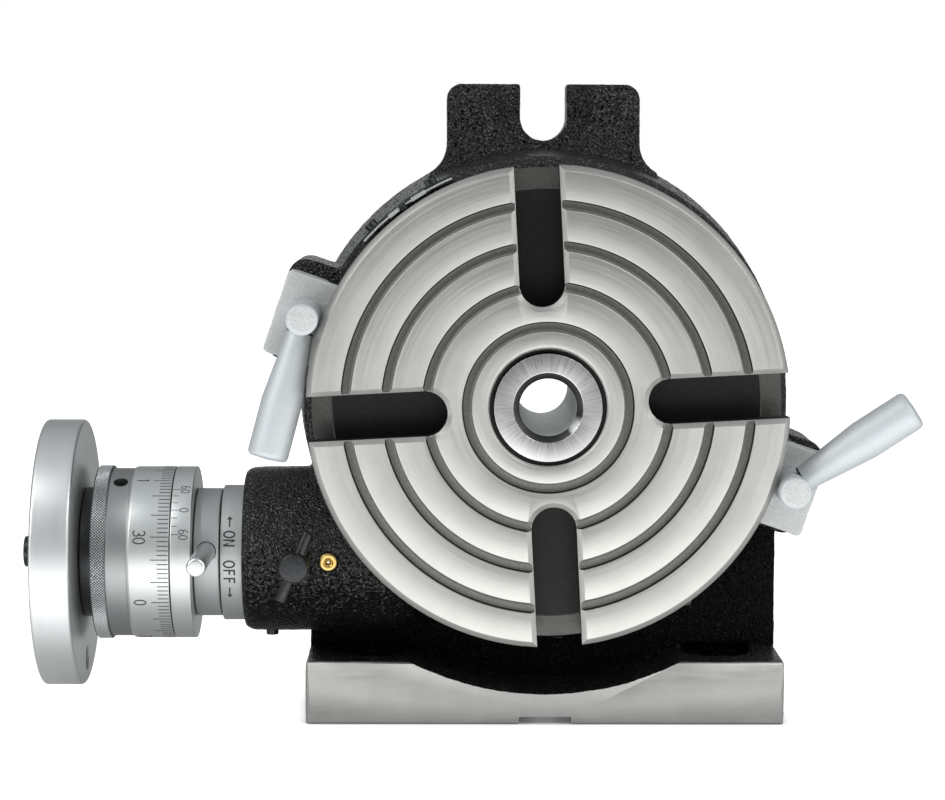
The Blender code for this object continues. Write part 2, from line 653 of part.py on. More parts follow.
def hollow_casting(casting, frame, sleeve_frame):
    front = SHOULDER_FRONT + 0.05
    hollow = [(0, 5), (TABLE_R + 1, 5), (TABLE_R + 1, front), (BOWL_R, front), (BOWL_R, TABLE_BACK + GAP)]
    hollow += [(GEAR_ROOM_R, TABLE_BACK + GAP)]
    hollow += [(GEAR_ROOM_R, GEAR_ROOM_BACK), (BEARING_R, GEAR_ROOM_BACK), (BEARING_R, NUT_ROOM_FRONT)]
    hollow += [(NUT_ROOM_R, NUT_ROOM_FRONT), (NUT_ROOM_R, BACK + 2), (0, BACK + 2)]
    cut(casting, lathe(hollow, 48), frame, turn=ALONG_Y)
    cut(casting, rod(TUNNEL_R, BOSS_END - 3, TUNNEL_END, 32), sleeve_frame, turn=ALONG_X)


def shape_lug(casting, frame):
    slot = u_outline(LUG_SLOT_HALF, LUG_SLOT_END, LUG_TOP + 5)
    cut(casting, prism(slot, LUG_FRONT - 10, BACK + 5), frame)
    face = u_outline(LUG_FACE_HALF, LUG_SLOT_END + 3, LUG_TOP + 5)
    cut(casting, prism(face, LUG_FRONT - 10, LUG_FRONT + LUG_FACE_DEPTH), frame)


def clamp_frame(side, frame):
    """An empty in the middle of one clamp, its own X pointing away from the table axis."""
    angle = CLAMP_ANGLES[side]
    place = (CLAMP_R * math.cos(angle), 0, CLAMP_R * math.sin(angle))
    return empty(f"{side}_clamp_axis", place, (0, -angle, 0), frame)


def add_clamp_bosses(casting, clamps):
    out = CLAMP_BOSS_OUT - CLAMP_R
    corner = 6.0
    for side, clamp in clamps.items():
        low, high = CLAMP_BOSS_SIDES[side]
        upper = arc((out - corner, high - corner), corner, 0, math.pi / 2, 4)
        lower = arc((out - corner, low + corner), corner, -math.pi / 2, 0, 4)
        outline = [*lower, *upper, (-20, high), (-20, low)]
        join(casting, prism(outline, CLAMP_BOSS_FRONT, CLAMP_BOSS_BACK), clamp)


def drill_casting(casting, frame, clamps):
    for side, clamp in clamps.items():
        stud_hole = rod(STUD_R + 0.25, CLAMP_BOSS_FRONT - 2, 62, 16)
        cut(casting, stud_hole, clamp, (0, 0, CLAMP_SCREW_SHIFT[side]), ALONG_Y)
    x, z = LOCK_AT
    cut(casting, rod(LOCK_R + GAP, 15, 40, 16), frame, (x, 0, z), ALONG_Y)
    x, z = OILER_AT
    seat_r, seat = OILER_R + GAP, OILER_Y[1] + 0.4
    oil_way = [(0, 15), (seat_r, 15), (seat_r, seat), (1.2, seat), (1.2, 40), (0, 40)]
    cut(casting, lathe(oil_way, 16), frame, (x, 0, z), ALONG_Y)
    cut(casting, rod(PLUG_R + GAP, PLUG_Z[0] - 1, PLUG_Z[1] + 5.6, 12), frame, (PLUG_X, SLEEVE_Y, 0))
    for angle in INDEX_SCREW_ANGLES:
        turn = (0, TAU / 4 - angle, 0)
        hole = rod(INDEX_SCREW_R + 0.25, INDEX_SCREW_ROOT - GAP, INDEX_R + 4, 12)
        cut(casting, hole, frame, (0, INDEX_SCREW_Y, 0), turn)


# ---------------------------------------------------------------- pieces on the base


def make_base_fittings(frame, sleeve_frame):
    bush = ring(JOURNAL_R + GAP, BEARING_R - GAP, GEAR_ROOM_BACK + GAP, NUT_ROOM_FRONT - GAP, 32)
    add("spindle_bush", bush, "bronze", frame, turn=ALONG_Y)
    washer = ring(JOURNAL_R + GAP, NUT_R + 1, NUT_ROOM_FRONT + GAP, NUT_ROOM_FRONT + 2.3, 32)
    add("rear_thrust_washer", washer, "bronze", frame, turn=ALONG_Y)
    collar = ring(TUNNEL_R + 0.1, COLLAR_R, *COLLAR_X, 32)
    add("on_off_collar", collar, "satin_steel", sleeve_frame, turn=ALONG_X)
    low, high = PLUG_Z
    plug = [(0, low), (PLUG_R - GAP, low), (PLUG_R, low + 0.4), (PLUG_R, high), (0, high)]
    add("boss_plug", lathe(plug, 12), "black_oxide", frame, (PLUG_X, SLEEVE_Y, 0))


def make_index_plate(frame):
    half = INDEX_THICKNESS / 2
    inner = arc((0, 0), INDEX_R - half, *INDEX_ANGLES, 12)
    outer = arc((0, 0), INDEX_R + half, *reversed(INDEX_ANGLES), 12)
    front, back = INDEX_Y
    plate = add("index_plate", prism(inner + outer, front, back), "satin_steel", frame)
    middle = sum(INDEX_ANGLES) / 2
    notch = box((INDEX_R - 6, front - 2.5, -INDEX_NOTCH_HALF), (INDEX_R + 6, front + 4, INDEX_NOTCH_HALF))
    cut(plate, notch, frame, turn=(0, -middle, 0))
    for i, angle in enumerate(INDEX_SCREW_ANGLES):
        turn = (0, TAU / 4 - angle, 0)
        cut(plate, rod(INDEX_SCREW_R + GAP, INDEX_R - 3, INDEX_R + 4, 12), frame, (0, INDEX_SCREW_Y, 0), turn)
        head, top = INDEX_R + half + GAP, INDEX_R + half + GAP + 2.3
        screw = [(0, INDEX_SCREW_ROOT), (INDEX_SCREW_R, INDEX_SCREW_ROOT), (INDEX_SCREW_R, head)]
        screw += [(INDEX_SCREW_HEAD_R, head), (INDEX_SCREW_HEAD_R, top), (0, top)]
        add(f"index_screw_{i + 1}", lathe(screw, 12), "black_oxide", frame, (0, INDEX_SCREW_Y, 0), turn)


def make_oiler(frame):
    x, z = OILER_AT
    place = (x, 0, z)
    front, back = OILER_Y
    room_r = OILER_BALL_R + 0.25
    body = [(0.8, front), (OILER_R - 0.4, front), (OILER_R, front + 0.5), (OILER_R, back), (room_r, back)]
    add("oiler_body", lathe([*body, (room_r, front + 0.7)], 20), "brass", frame, place, ALONG_Y)
    ball = bmesh.new()
    bmesh.ops.create_uvsphere(ball, u_segments=12, v_segments=8, radius=OILER_BALL_R)
    add("oiler_ball", ball, "satin_steel", frame, (x, OILER_BALL_Y, z))
    spring = helix(0.75, 24.0, 27.0, 0.2, 3.5, 8)
    add("oiler_spring", spring, "spring_steel", frame, place, ALONG_Y)


def helix(radius, low, high, wire, turns, per_turn):
    """A coil of round wire about Z."""
    steps = round(turns * per_turn)
    rings = []
    for i in range(steps + 1):
        a = TAU * turns * i / steps
        centre = Vector((radius * math.cos(a), radius * math.sin(a), low + (high - low) * i / steps))
        outward = Vector((math.cos(a), math.sin(a), 0))
        upward = Vector((0, 0, 1))
        corners = [(TAU * k / 5) for k in range(5)]
        rings.append([centre + wire * (math.cos(c) * outward + math.sin(c) * upward) for c in corners])
    return loft(rings)


def make_lock_screw(frame):
    x, z = LOCK_AT
    front, neck, back = LOCK_Y
    screw = [(0, front), (LOCK_HEAD_R - 0.5, front), (LOCK_HEAD_R, front + 0.5), (LOCK_HEAD_R, neck)]
    screw += [(LOCK_R, neck), (LOCK_R, back), (0, back)]
    head = add("lock_screw", lathe(screw, 24), "black_oxide", frame, (x, 0, z), ALONG_Y)
    place, turn = (x, (front + neck) / 2, z), (0, TAU / 4 - LOCK_BAR_ANGLE, 0)
    half = LOCK_BAR_LENGTH / 2
    cut(head, rod(LOCK_BAR_R + 0.2, -half - 3, half + 3, 16), frame, place, turn)
    add("lock_screw_bar", rod(LOCK_BAR_R, -half, half, 16, 0.4), "black_oxide", frame, place, turn)


def make_clamp(side, clamp, frame):
    shift = CLAMP_SCREW_SHIFT[side]
    inner = PLATE_IN - CLAMP_R
    step = PLATE_STEP - CLAMP_R
    outer = PLATE_OUT - CLAMP_R
    heel = box((step, PLATE_FRONT, -PLATE_HALF), (outer, PLATE_BACK, PLATE_HALF))
    plate = add(f"{side}_clamp_plate", heel, "silver_rough_paint", clamp)
    join(plate, box((inner, PLATE_FRONT + 0.1, -PLATE_HALF), (step + 3, PLATE_TONGUE, PLATE_HALF)), clamp)
    cut(plate, rod(CLAMP_GROOVE_R + 0.8, 10, 40, 56), frame, turn=ALONG_Y)
    cut(plate, rod(STUD_R + 0.3, 10, 40, 16), clamp, (0, 0, shift), ALONG_Y)
    hub_back, edge = PLATE_FRONT - GAP, 0.6
    hub = [(0, HUB_FRONT), (KNOB_R - edge, HUB_FRONT), (KNOB_R, HUB_FRONT + edge), (KNOB_R, hub_back - 2.7)]
    hub += [(KNOB_R + GAP, hub_back - 2.2), (KNOB_R + GAP, hub_back)]
    hub += [(STUD_R, hub_back), (STUD_R, STUD_END), (0, STUD_END)]
    screw = add(f"{side}_clamp_screw", lathe(hub, 20), "silver_paint", clamp, (0, 0, shift), ALONG_Y)
    angle = LEVER_ANGLES[side]
    flat = math.cos(LEVER_TILT)
    direction = Vector((math.cos(angle) * flat, -math.sin(LEVER_TILT), math.sin(angle) * flat))
    centre = clamp.matrix_local @ (Vector((0, LEVER_Y, shift)) * MM) / MM
    turn = direction.to_track_quat("Z", "X").to_euler()
    cut(screw, rod(LEVER_ROOT_R + GAP, 0.5, 20, 16), frame, centre, turn)
    root, thick = LEVER_ROOT_R, LEVER_R
    handle = [(0, 1.2), (root, 1.2), (root, KNOB_R + 0.5), (LEVER_NECK_R, KNOB_R + 1), (thick, LEVER_KNEE)]
    handle += [(thick, LEVER_LENGTH - 1.8), (thick - 0.7, LEVER_LENGTH - 0.4)]
    handle += [(thick - 2.1, LEVER_LENGTH), (0, LEVER_LENGTH)]
    add(f"{side}_clamp_lever", lathe(handle, 20), "silver_paint", frame, centre, turn)


def main():
    clear_scene()
    frame = empty("table_axis", (AXIS_X, FACE_Y, AXIS_HEIGHT))
    turned = empty("table_turned", (0, 0, 0), (0, -TABLE_TURN, 0), frame)
    worm_frame = empty("worm_axis", (0, WORM_Y, WORM_Z), parent=frame)
    sleeve_frame = empty("eccentric_axis", (0, SLEEVE_Y, SLEEVE_Z), parent=frame)
    clamps = {side: clamp_frame(side, frame) for side in CLAMP_ANGLES}
    bpy.context.view_layer.update()
    make_table(turned)
    make_spindle(frame)
    make_wheel(frame)
    make_worm_shaft(worm_frame)
    make_eccentric_sleeve(sleeve_frame, worm_frame)
    make_sleeve_fittings(sleeve_frame, worm_frame)
    make_dial(worm_frame)
    make_handwheel(worm_frame)
    casting = make_casting(frame)
    add_clamp_bosses(casting, clamps)
    shape_foot(casting, frame)
    hollow_casting(casting, frame, sleeve_frame)
    shape_lug(casting, frame)
    drill_casting(casting, frame, clamps)
    make_base_fittings(frame, sleeve_frame)
    make_index_plate(frame)
    make_oiler(frame)
    make_lock_screw(frame)
    for side, clamp in clamps.items():
        make_clamp(side, clamp, frame)


main()
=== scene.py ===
"""Looks of a six-inch rotary table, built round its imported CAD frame.

Sizes are millimetres in the table's own frame: X to the right, Y from the table's face back into the base,
Z up, zero on the table axis in the plane of the face. Pieces are built about their own axis and then placed.
"""

import json
import math

import bmesh
import bpy
from mathutils import Matrix, Vector
from mathutils.noise import noise as value_noise


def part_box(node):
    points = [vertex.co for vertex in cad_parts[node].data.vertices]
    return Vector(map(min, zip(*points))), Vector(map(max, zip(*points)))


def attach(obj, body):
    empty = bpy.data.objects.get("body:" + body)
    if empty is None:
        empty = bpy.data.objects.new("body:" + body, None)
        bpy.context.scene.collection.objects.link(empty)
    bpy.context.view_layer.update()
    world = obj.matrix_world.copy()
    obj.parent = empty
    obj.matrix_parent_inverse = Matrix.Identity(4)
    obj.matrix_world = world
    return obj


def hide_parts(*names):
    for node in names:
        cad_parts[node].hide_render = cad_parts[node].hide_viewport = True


MM = 0.001
TAU = 2 * math.pi
ALONG_Y = (-math.pi / 2, 0, 0)  # turns a piece's own Z axis to +Y, with its X kept
ALONG_X = (0, math.pi / 2, 0)  # turns a piece's own Z axis to +X

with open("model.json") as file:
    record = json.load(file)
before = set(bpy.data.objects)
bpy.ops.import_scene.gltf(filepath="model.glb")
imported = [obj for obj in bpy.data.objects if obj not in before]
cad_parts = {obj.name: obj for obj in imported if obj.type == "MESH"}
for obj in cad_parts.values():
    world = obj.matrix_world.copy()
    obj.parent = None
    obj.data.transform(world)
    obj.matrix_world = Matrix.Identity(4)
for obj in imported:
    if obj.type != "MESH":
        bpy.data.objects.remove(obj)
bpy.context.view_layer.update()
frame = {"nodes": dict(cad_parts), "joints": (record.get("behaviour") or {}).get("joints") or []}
JOINTS = {joint["name"]: joint for joint in frame["joints"]}
FACE_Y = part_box("table")[0].y
ORIGIN = Vector((JOINTS["table_spin"]["pos_m"][0], FACE_Y, JOINTS["table_spin"]["pos_m"][2]))


def span(node, axis):
    """A CAD node's extent along one axis, in the table's frame."""
    low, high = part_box(node)
    return (low[axis] - ORIGIN[axis]) / MM, (high[axis] - ORIGIN[axis]) / MM


def axis_of(joint):
    """A point on a joint's axis, in the table's frame."""
    return (Vector(JOINTS[joint]["pos_m"]) - ORIGIN) / MM


# ---------------------------------------------------------------- shapes


def arc(centre, radius, start, end, steps):
    """Points on an arc, both ends included, angles in radians."""
    angles = [start + (end - start) * i / steps for i in range(steps + 1)]
    return [(centre[0] + radius * math.cos(a), centre[1] + radius * math.sin(a)) for a in angles]


def softened(points, radius, steps=3, closed=False):
    """The same line with each corner eased over at most this radius."""
    eased = []
    count = len(points)
    for i, point in enumerate(points):
        if not closed and i in (0, count - 1):
            eased.append(tuple(point))
            continue
        here = Vector(point)
        back = Vector(points[i - 1]) - here
        ahead = Vector(points[(i + 1) % count]) - here
        reach = min(radius, 0.45 * back.length, 0.45 * ahead.length)
        start = here + back.normalized() * reach
        end = here + ahead.normalized() * reach
        for k in range(steps + 1):
            t = k / steps
            eased.append(tuple((1 - t) ** 2 * start + 2 * t * (1 - t) * here + t * t * end))
    return eased


def lathe(outline, segments=96):
    """A turned body about Z from (radius, height) points round its outline.

    The outline closes on itself, or starts and ends on the axis.
    """
    bm = bmesh.new()
    on_axis = outline[0][0] < 1e-6
    columns = []
    for radius, height in outline:
        if radius < 1e-6:
            columns.append([bm.verts.new((0, 0, height))] * segments)
            continue
        turns = [TAU * i / segments for i in range(segments)]
        columns.append([bm.verts.new((radius * math.cos(a), radius * math.sin(a), height)) for a in turns])
    pairs = list(zip(columns, columns[1:]))
    if not on_axis:
        pairs.append((columns[-1], columns[0]))
    for first, second in pairs:
        for i in range(segments):
            j = (i + 1) % segments
            corners = [first[i], first[j], second[j], second[i]]
            unique = [v for k, v in enumerate(corners) if v not in corners[:k]]
            if len(unique) > 2:
                bm.faces.new(unique)
    bmesh.ops.recalc_face_normals(bm, faces=bm.faces)
    return bm


def rod(radius, low, high, segments=64, edge=0.0):
    """A cylinder along Z, with its rims eased by edge."""
    outline = [(0, low), (radius, low), (radius, high), (0, high)]
    return lathe(softened(outline, edge) if edge else outline, segments)


def loft(rings):
    """A closed body through rings of points, each ring a list of (x, y, z)."""
    bm = bmesh.new()
    rows = [[bm.verts.new(p) for p in points] for points in rings]
    for low, high in zip(rows, rows[1:]):
        for i in range(len(low)):
            j = (i + 1) % len(low)
            bm.faces.new((low[i], low[j], high[j], high[i]))
    bm.faces.new(reversed(rows[0]))
    bm.faces.new(rows[-1])
    bmesh.ops.recalc_face_normals(bm, faces=bm.faces)
    return bm


def prism(outline, low, high):
    """A body of one (x, z) outline, from y = low to y = high."""
    return loft([[(x, y, z) for x, z in outline] for y in (low, high)])


def box(low, high):
    (x0, y0, z0), (x1, y1, z1) = low, high
    return prism([(x0, z0), (x1, z0), (x1, z1), (x0, z1)], y0, y1)


def u_outline(half, end, far, steps):
    """An (x, z) slot with a round end centred at z = end, running out to z = far."""
    sign = math.copysign(1, far - end)
    return [(half, far), *arc((0, end), half, 0, -sign * math.pi, steps), (-half, far)]


def moved(bm, place=(0, 0, 0), turn=(0, 0, 0)):
    """The same shape, turned by Euler angles and then placed."""
    matrix = Matrix.Rotation(turn[2], 4, "Z") @ Matrix.Rotation(turn[1], 4,
                                                                "Y") @ Matrix.Rotation(turn[0], 4, "X")
    bm.transform(Matrix.Translation(Vector(place)) @ matrix)
    return bm


def raw_object(bm, name="scratch"):
    mesh = bpy.data.meshes.new(name)
    bm.to_mesh(mesh)
    bm.free()
    obj = bpy.data.objects.new(name, mesh)
    bpy.context.scene.collection.objects.link(obj)
    return obj


def apply_modifiers(obj):
    """Makes the evaluated shape the object's own mesh."""
    graph = bpy.context.evaluated_depsgraph_get()
    mesh = bpy.data.meshes.new_from_object(obj.evaluated_get(graph))
    obj.modifiers.clear()
    old = obj.data
    obj.data = mesh
    bpy.data.meshes.remove(old)


def combine(obj, shapes, operation):
    """Cuts each shape from obj, or joins it on."""
    for bm in shapes:
        other = raw_object(bm)
        modifier = obj.modifiers.new("combine", "BOOLEAN")
        modifier.operation = operation
        modifier.solver = "MANIFOLD"
        modifier.object = other
        apply_modifiers(obj)
        mesh = other.data
        bpy.data.objects.remove(other)
        bpy.data.meshes.remove(mesh)


def finish_piece(obj, name, body, replaces=(), place=(0, 0, 0), turn=(0, 0, 0), sharp=35):
    """Scales a millimetre piece to metres, places it in the table's frame and makes it ride on its body."""
    obj.name = name
    obj.data.name = name
    obj.data.transform(Matrix.Scale(MM, 4))
    obj.data.shade_smooth()
    obj.data.set_sharp_from_angle(angle=math.radians(sharp))
    obj.location = ORIGIN + Vector(place) * MM
    obj.rotation_euler = turn
    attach(obj, body)
    if replaces:
        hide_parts(*replaces)
    return obj


def paint(obj, materials, rule=None):
    """Gives obj its materials; rule(centre, normal) picks one by number for each face."""
    obj.data.materials.clear()
    for material in materials:
        obj.data.materials.append(material)
    for face in obj.data.polygons:
        face.material_index = rule(face.center, face.normal) if rule else 0


# ---------------------------------------------------------------- materials

KNURL_R = 28.1
KNURL_DEPTH = 0.36
KNURLS_ROUND = 190
MARKS_ROUND = 1.2  # how quickly a turned mark changes on its way round
TURNED_DEPTH = 4e-6
MILLED_DEPTH = 5e-6
FINE_GRAIN = 3.0  # the small grain against the coarse one
SMALLEST_R = 1e-5  # keeps a shader from dividing by nothing on the axis
# direction of the painted highlight across the nose's face
NOSE_HIGHLIGHT_ANGLE = math.radians(-53)
# where the painted highlight sits on the bore's chamfer
MOUTH_HIGHLIGHT_ANGLE = math.radians(33)


def node(tree, kind, settings=None, **inputs):
    """A shader node with its settings, and its inputs by name as values or as sockets to link."""
    made = tree.nodes.new("ShaderNode" + kind)
    for key, value in (settings or {}).items():
        setattr(made, key, value)
    for key, value in inputs.items():
        socket = made.inputs[key.replace("_", " ")]
        if isinstance(value, bpy.types.NodeSocket):
            tree.links.new(value, socket)
        else:
            socket.default_value = value
    return made


def calc(tree, operation, first, second=0.0):
    made = tree.nodes.new("ShaderNodeMath")
    made.operation = operation
    for i, value in enumerate((first, second)):
        if isinstance(value, bpy.types.NodeSocket):
            tree.links.new(value, made.inputs[i])
        else:
            made.inputs[i].default_value = value
    return made.outputs[0]


def new_material(name):
    material = bpy.data.materials.new(name)
    material.use_nodes = True
    tree = material.node_tree
    return material, tree, tree.nodes["Principled BSDF"]


def spread(tree, value, low, high, start=0.3, end=0.7):
    """A noise value stretched to run from low to high."""
    ranged = node(tree, "MapRange", Value=value, From_Min=start, From_Max=end, To_Min=low, To_Max=high)
    return ranged.outputs["Result"]


def noise(tree, vector, scale, detail=2.0, roughness=0.5):
    return node(tree, "TexNoise", Vector=vector, Scale=scale, Detail=detail,
                Roughness=roughness).outputs["Fac"]


def mixed_colour(tree, factor, dark, light):
    ramp = node(tree, "ValToRGB", Fac=factor)
    ramp.color_ramp.elements[0].position = 0.3
    ramp.color_ramp.elements[0].color = (*dark, 1)
    ramp.color_ramp.elements[1].position = 0.7
    ramp.color_ramp.elements[1].color = (*light, 1)
    return ramp.outputs["Color"]


def add_bump(tree, shader, *layers):
    """Bump layers of (height socket, depth in metres), one on another."""
    normal = None
    for height, depth in layers:
        bump = node(tree, "Bump", Height=height, Strength=1.0, Distance=depth)
        if normal is not None:
            tree.links.new(normal, bump.inputs["Normal"])
        normal = bump.outputs["Normal"]
    tree.links.new(normal, shader.inputs["Normal"])


def distance(tree, x, y):
    """The distance from the origin of a point whose two sockets are x and y."""
    squares = calc(tree, "ADD", calc(tree, "MULTIPLY", x, x), calc(tree, "MULTIPLY", y, y))
    return calc(tree, "SQRT", squares)


def object_point(tree):
    return node(tree, "TexCoord").outputs["Object"]


def ring_coordinates(tree, across):
    """A vector that changes quickly across tool marks left by turning about Z, and slowly round them."""
    parts = node(tree, "SeparateXYZ", Vector=object_point(tree)).outputs
    x, y, z = parts["X"], parts["Y"], parts["Z"]
    radius = distance(tree, x, y)
    safe = calc(tree, "MAXIMUM", radius, SMALLEST_R)
    step = calc(tree, "MULTIPLY", calc(tree, "ADD", radius, z), across)
    cosine = calc(tree, "MULTIPLY", calc(tree, "DIVIDE", x, safe), MARKS_ROUND)
    sine = calc(tree, "MULTIPLY", calc(tree, "DIVIDE", y, safe), MARKS_ROUND)
    return node(tree, "CombineXYZ", X=step, Y=cosine, Z=sine).outputs["Vector"]


def turned_metal(name, dark, light, roughness, across, anisotropy=0.0):
    """Metal turned on a lathe about its own Z: fine rings in colour, gloss and relief over a slow mottle."""
    material, tree, shader = new_material(name)
    rings = noise(tree, ring_coordinates(tree, across), 1.0, 3.0, 0.6)
    mottle = noise(tree, object_point(tree), 90.0, 4.0, 0.6)
    mixed = calc(tree, "ADD", calc(tree, "MULTIPLY", rings, 0.55), calc(tree, "MULTIPLY", mottle, 0.45))
    tree.links.new(mixed_colour(tree, mixed, dark, light), shader.inputs["Base Color"])
    tree.links.new(spread(tree, rings, roughness[0], roughness[1]), shader.inputs["Roughness"])
    shader.inputs["Metallic"].default_value = 1.0
    if anisotropy:
        shader.inputs["Anisotropic"].default_value = anisotropy
        tangent = node(tree, "Tangent", {"direction_type": "RADIAL", "axis": "Z"})
        tree.links.new(tangent.outputs["Tangent"], shader.inputs["Tangent"])
    add_bump(tree, shader, (rings, TURNED_DEPTH))
    return material


def angle_tone(tree, point, angle, start, end, both_ways=True):
    """1 near one direction about the object's own Z, 0 away from it; start and end are cosines."""
    parts = node(tree, "SeparateXYZ", Vector=point).outputs
    x, y = parts["X"], parts["Y"]
    radius = distance(tree, x, y)
    along = calc(tree, "MULTIPLY", x, math.cos(angle))
    along = calc(tree, "ADD", along, calc(tree, "MULTIPLY", y, math.sin(angle)))
    cosine = calc(tree, "DIVIDE", along, calc(tree, "MAXIMUM", radius, SMALLEST_R))
    if both_ways:
        cosine = calc(tree, "ABSOLUTE", cosine)
    return spread(tree, cosine, 0.0, 1.0, start, end)


def streaked_metal():
    """The nose's faced end: fine radial streaks, with a painted highlight along one diameter."""
    material, tree, shader = new_material("turned_nose")
    point = object_point(tree)
    parts = node(tree, "SeparateXYZ", Vector=point).outputs
    x, y = parts["X"], parts["Y"]
    radius = distance(tree, x, y)
    safe = calc(tree, "MAXIMUM", radius, SMALLEST_R)
    cosine = calc(tree, "MULTIPLY", calc(tree, "DIVIDE", x, safe), 38.0)
    sine = calc(tree, "MULTIPLY", calc(tree, "DIVIDE", y, safe), 38.0)
    out = calc(tree, "MULTIPLY", radius, 120.0)
    streaks = noise(tree, node(tree, "CombineXYZ", X=cosine, Y=sine, Z=out).outputs["Vector"], 1.0, 3.0,
                    0.65)
    # painted highlight: base colour lighter along one diameter, standing in for the brushed face's
    # reflection
    painted_highlight = angle_tone(tree, point, NOSE_HIGHLIGHT_ANGLE, 0.80, 1.0)
    mixed = calc(tree, "ADD", calc(tree, "MULTIPLY", streaks, 0.62), calc(tree, "MULTIPLY", painted_highlight, 0.24))
    tree.links.new(mixed_colour(tree, mixed, (0.47, 0.47, 0.46), (0.70, 0.705, 0.69)),
                   shader.inputs["Base Color"])
    tree.links.new(spread(tree, streaks, 0.24, 0.36), shader.inputs["Roughness"])
    shader.inputs["Metallic"].default_value = 1.0
    add_bump(tree, shader, (streaks, 3e-6))
    return material


def mouth_metal():
    """The bore's dark chamfer, with one painted highlight."""
    material, tree, shader = new_material("taper_mouth")
    point = object_point(tree)
    grain = noise(tree, point, 3000.0)
    # painted highlight: base colour much lighter towards one direction
    painted_glint = angle_tone(tree, point, MOUTH_HIGHLIGHT_ANGLE, 0.93, 1.0, both_ways=False)
    mixed = calc(tree, "ADD", calc(tree, "MULTIPLY", grain, 0.3), calc(tree, "MULTIPLY", painted_glint, 0.42))
    tree.links.new(mixed_colour(tree, mixed, (0.055, 0.056, 0.053), (0.85, 0.86, 0.85)),
                   shader.inputs["Base Color"])
    shader.inputs["Roughness"].default_value = 0.35
    shader.inputs["Metallic"].default_value = 1.0
    add_bump(tree, shader, (grain, 2e-6))
    return material


def milled_metal(name, dark, light, roughness, stretch):
    """Metal with straight tool marks; stretch squeezes object space, most across the marks."""
    material, tree, shader = new_material(name)
    mapped = node(tree, "Mapping", Vector=object_point(tree), Scale=stretch).outputs["Vector"]
    marks = noise(tree, mapped, 1.0, 3.0, 0.6)
    mottle = noise(tree, object_point(tree), 120.0, 4.0, 0.6)
    mixed = calc(tree, "ADD", calc(tree, "MULTIPLY", marks, 0.5), calc(tree, "MULTIPLY", mottle, 0.5))
    tree.links.new(mixed_colour(tree, mixed, dark, light), shader.inputs["Base Color"])
    tree.links.new(spread(tree, marks, roughness[0], roughness[1]), shader.inputs["Roughness"])
    shader.inputs["Metallic"].default_value = 1.0
    add_bump(tree, shader, (marks, MILLED_DEPTH))
    return material


def knurled_metal():
    """Steel whose knurled valleys are painted dark as shade: the tone follows the distance from the object's
    own Z.
    """
    material, tree, shader = new_material("knurled_steel_valley_shade")
    parts = node(tree, "SeparateXYZ", Vector=object_point(tree)).outputs
    x, y = parts["X"], parts["Y"]
    radius = distance(tree, x, y)
    # painted shade: the deeper a point lies in a valley, the darker its colour
    depth = spread(tree, radius, 0.0, 1.0, (KNURL_R - KNURL_DEPTH) * MM, KNURL_R * MM)
    grain = calc(tree, "MULTIPLY", noise(tree, object_point(tree), 2500.0), 0.3)
    tone = mixed_colour(tree, calc(tree, "ADD", depth, grain), (0.13, 0.14, 0.145), (0.74, 0.77, 0.77))
    tree.links.new(tone, shader.inputs["Base Color"])
    tree.links.new(spread(tree, grain, 0.3, 0.4, 0.0, 0.3), shader.inputs["Roughness"])
    shader.inputs["Metallic"].default_value = 1.0
    return material


def grainy(name, dark, light, roughness, metallic, scale, depth):
    """A cast, painted or oxidised skin with grain at two sizes."""
    material, tree, shader = new_material(name)
    point = object_point(tree)
    coarse = noise(tree, point, scale, 3.0, 0.6)
    small = noise(tree, point, scale * FINE_GRAIN, 2.0, 0.5)
    mixed = calc(tree, "ADD", calc(tree, "MULTIPLY", coarse, 0.6), calc(tree, "MULTIPLY", small, 0.4))
    tree.links.new(mixed_colour(tree, mixed, dark, light), shader.inputs["Base Color"])
    tree.links.new(spread(tree, small, roughness[0], roughness[1]), shader.inputs["Roughness"])
    shader.inputs["Metallic"].default_value = metallic
    add_bump(tree, shader, (coarse, depth), (small, depth * 0.4))
    return material


def crinkle_paint(name, gloss):
    """Gloss black wrinkle paint on rough iron, with painted sparkle highlights as bright specks in its
    colour.
    """
    material, tree, shader = new_material(name)
    point = object_point(tree)
    folds = noise(tree, point, 900.0, 2.0, 0.5)
    cells = node(tree, "TexVoronoi", {"feature": "SMOOTH_F1"}, Vector=point, Scale=1500.0, Smoothness=0.5)
    fine = noise(tree, point, 2600.0, 2.0, 0.5)
    # painted sparkle highlights: bright specks in the base colour, brighter the higher the gloss
    painted_sparkle = spread(tree, noise(tree, point, 1800.0, 1.0), 0.0, gloss * 2, 0.58, 0.70)
    mixed = calc(tree, "ADD", calc(tree, "MULTIPLY", folds, 0.4), painted_sparkle)
    tone = mixed_colour(tree, mixed, (0.003, 0.0035, 0.0035), (0.11, 0.115, 0.112))
    tree.links.new(tone, shader.inputs["Base Color"])
    tree.links.new(spread(tree, fine, 0.14, 0.34), shader.inputs["Roughness"])
    shader.inputs["Specular IOR Level"].default_value = gloss
    add_bump(tree, shader, (folds, 1.3e-3), (cells.outputs["Distance"], 6e-4), (fine, 1.2e-4))
    return material


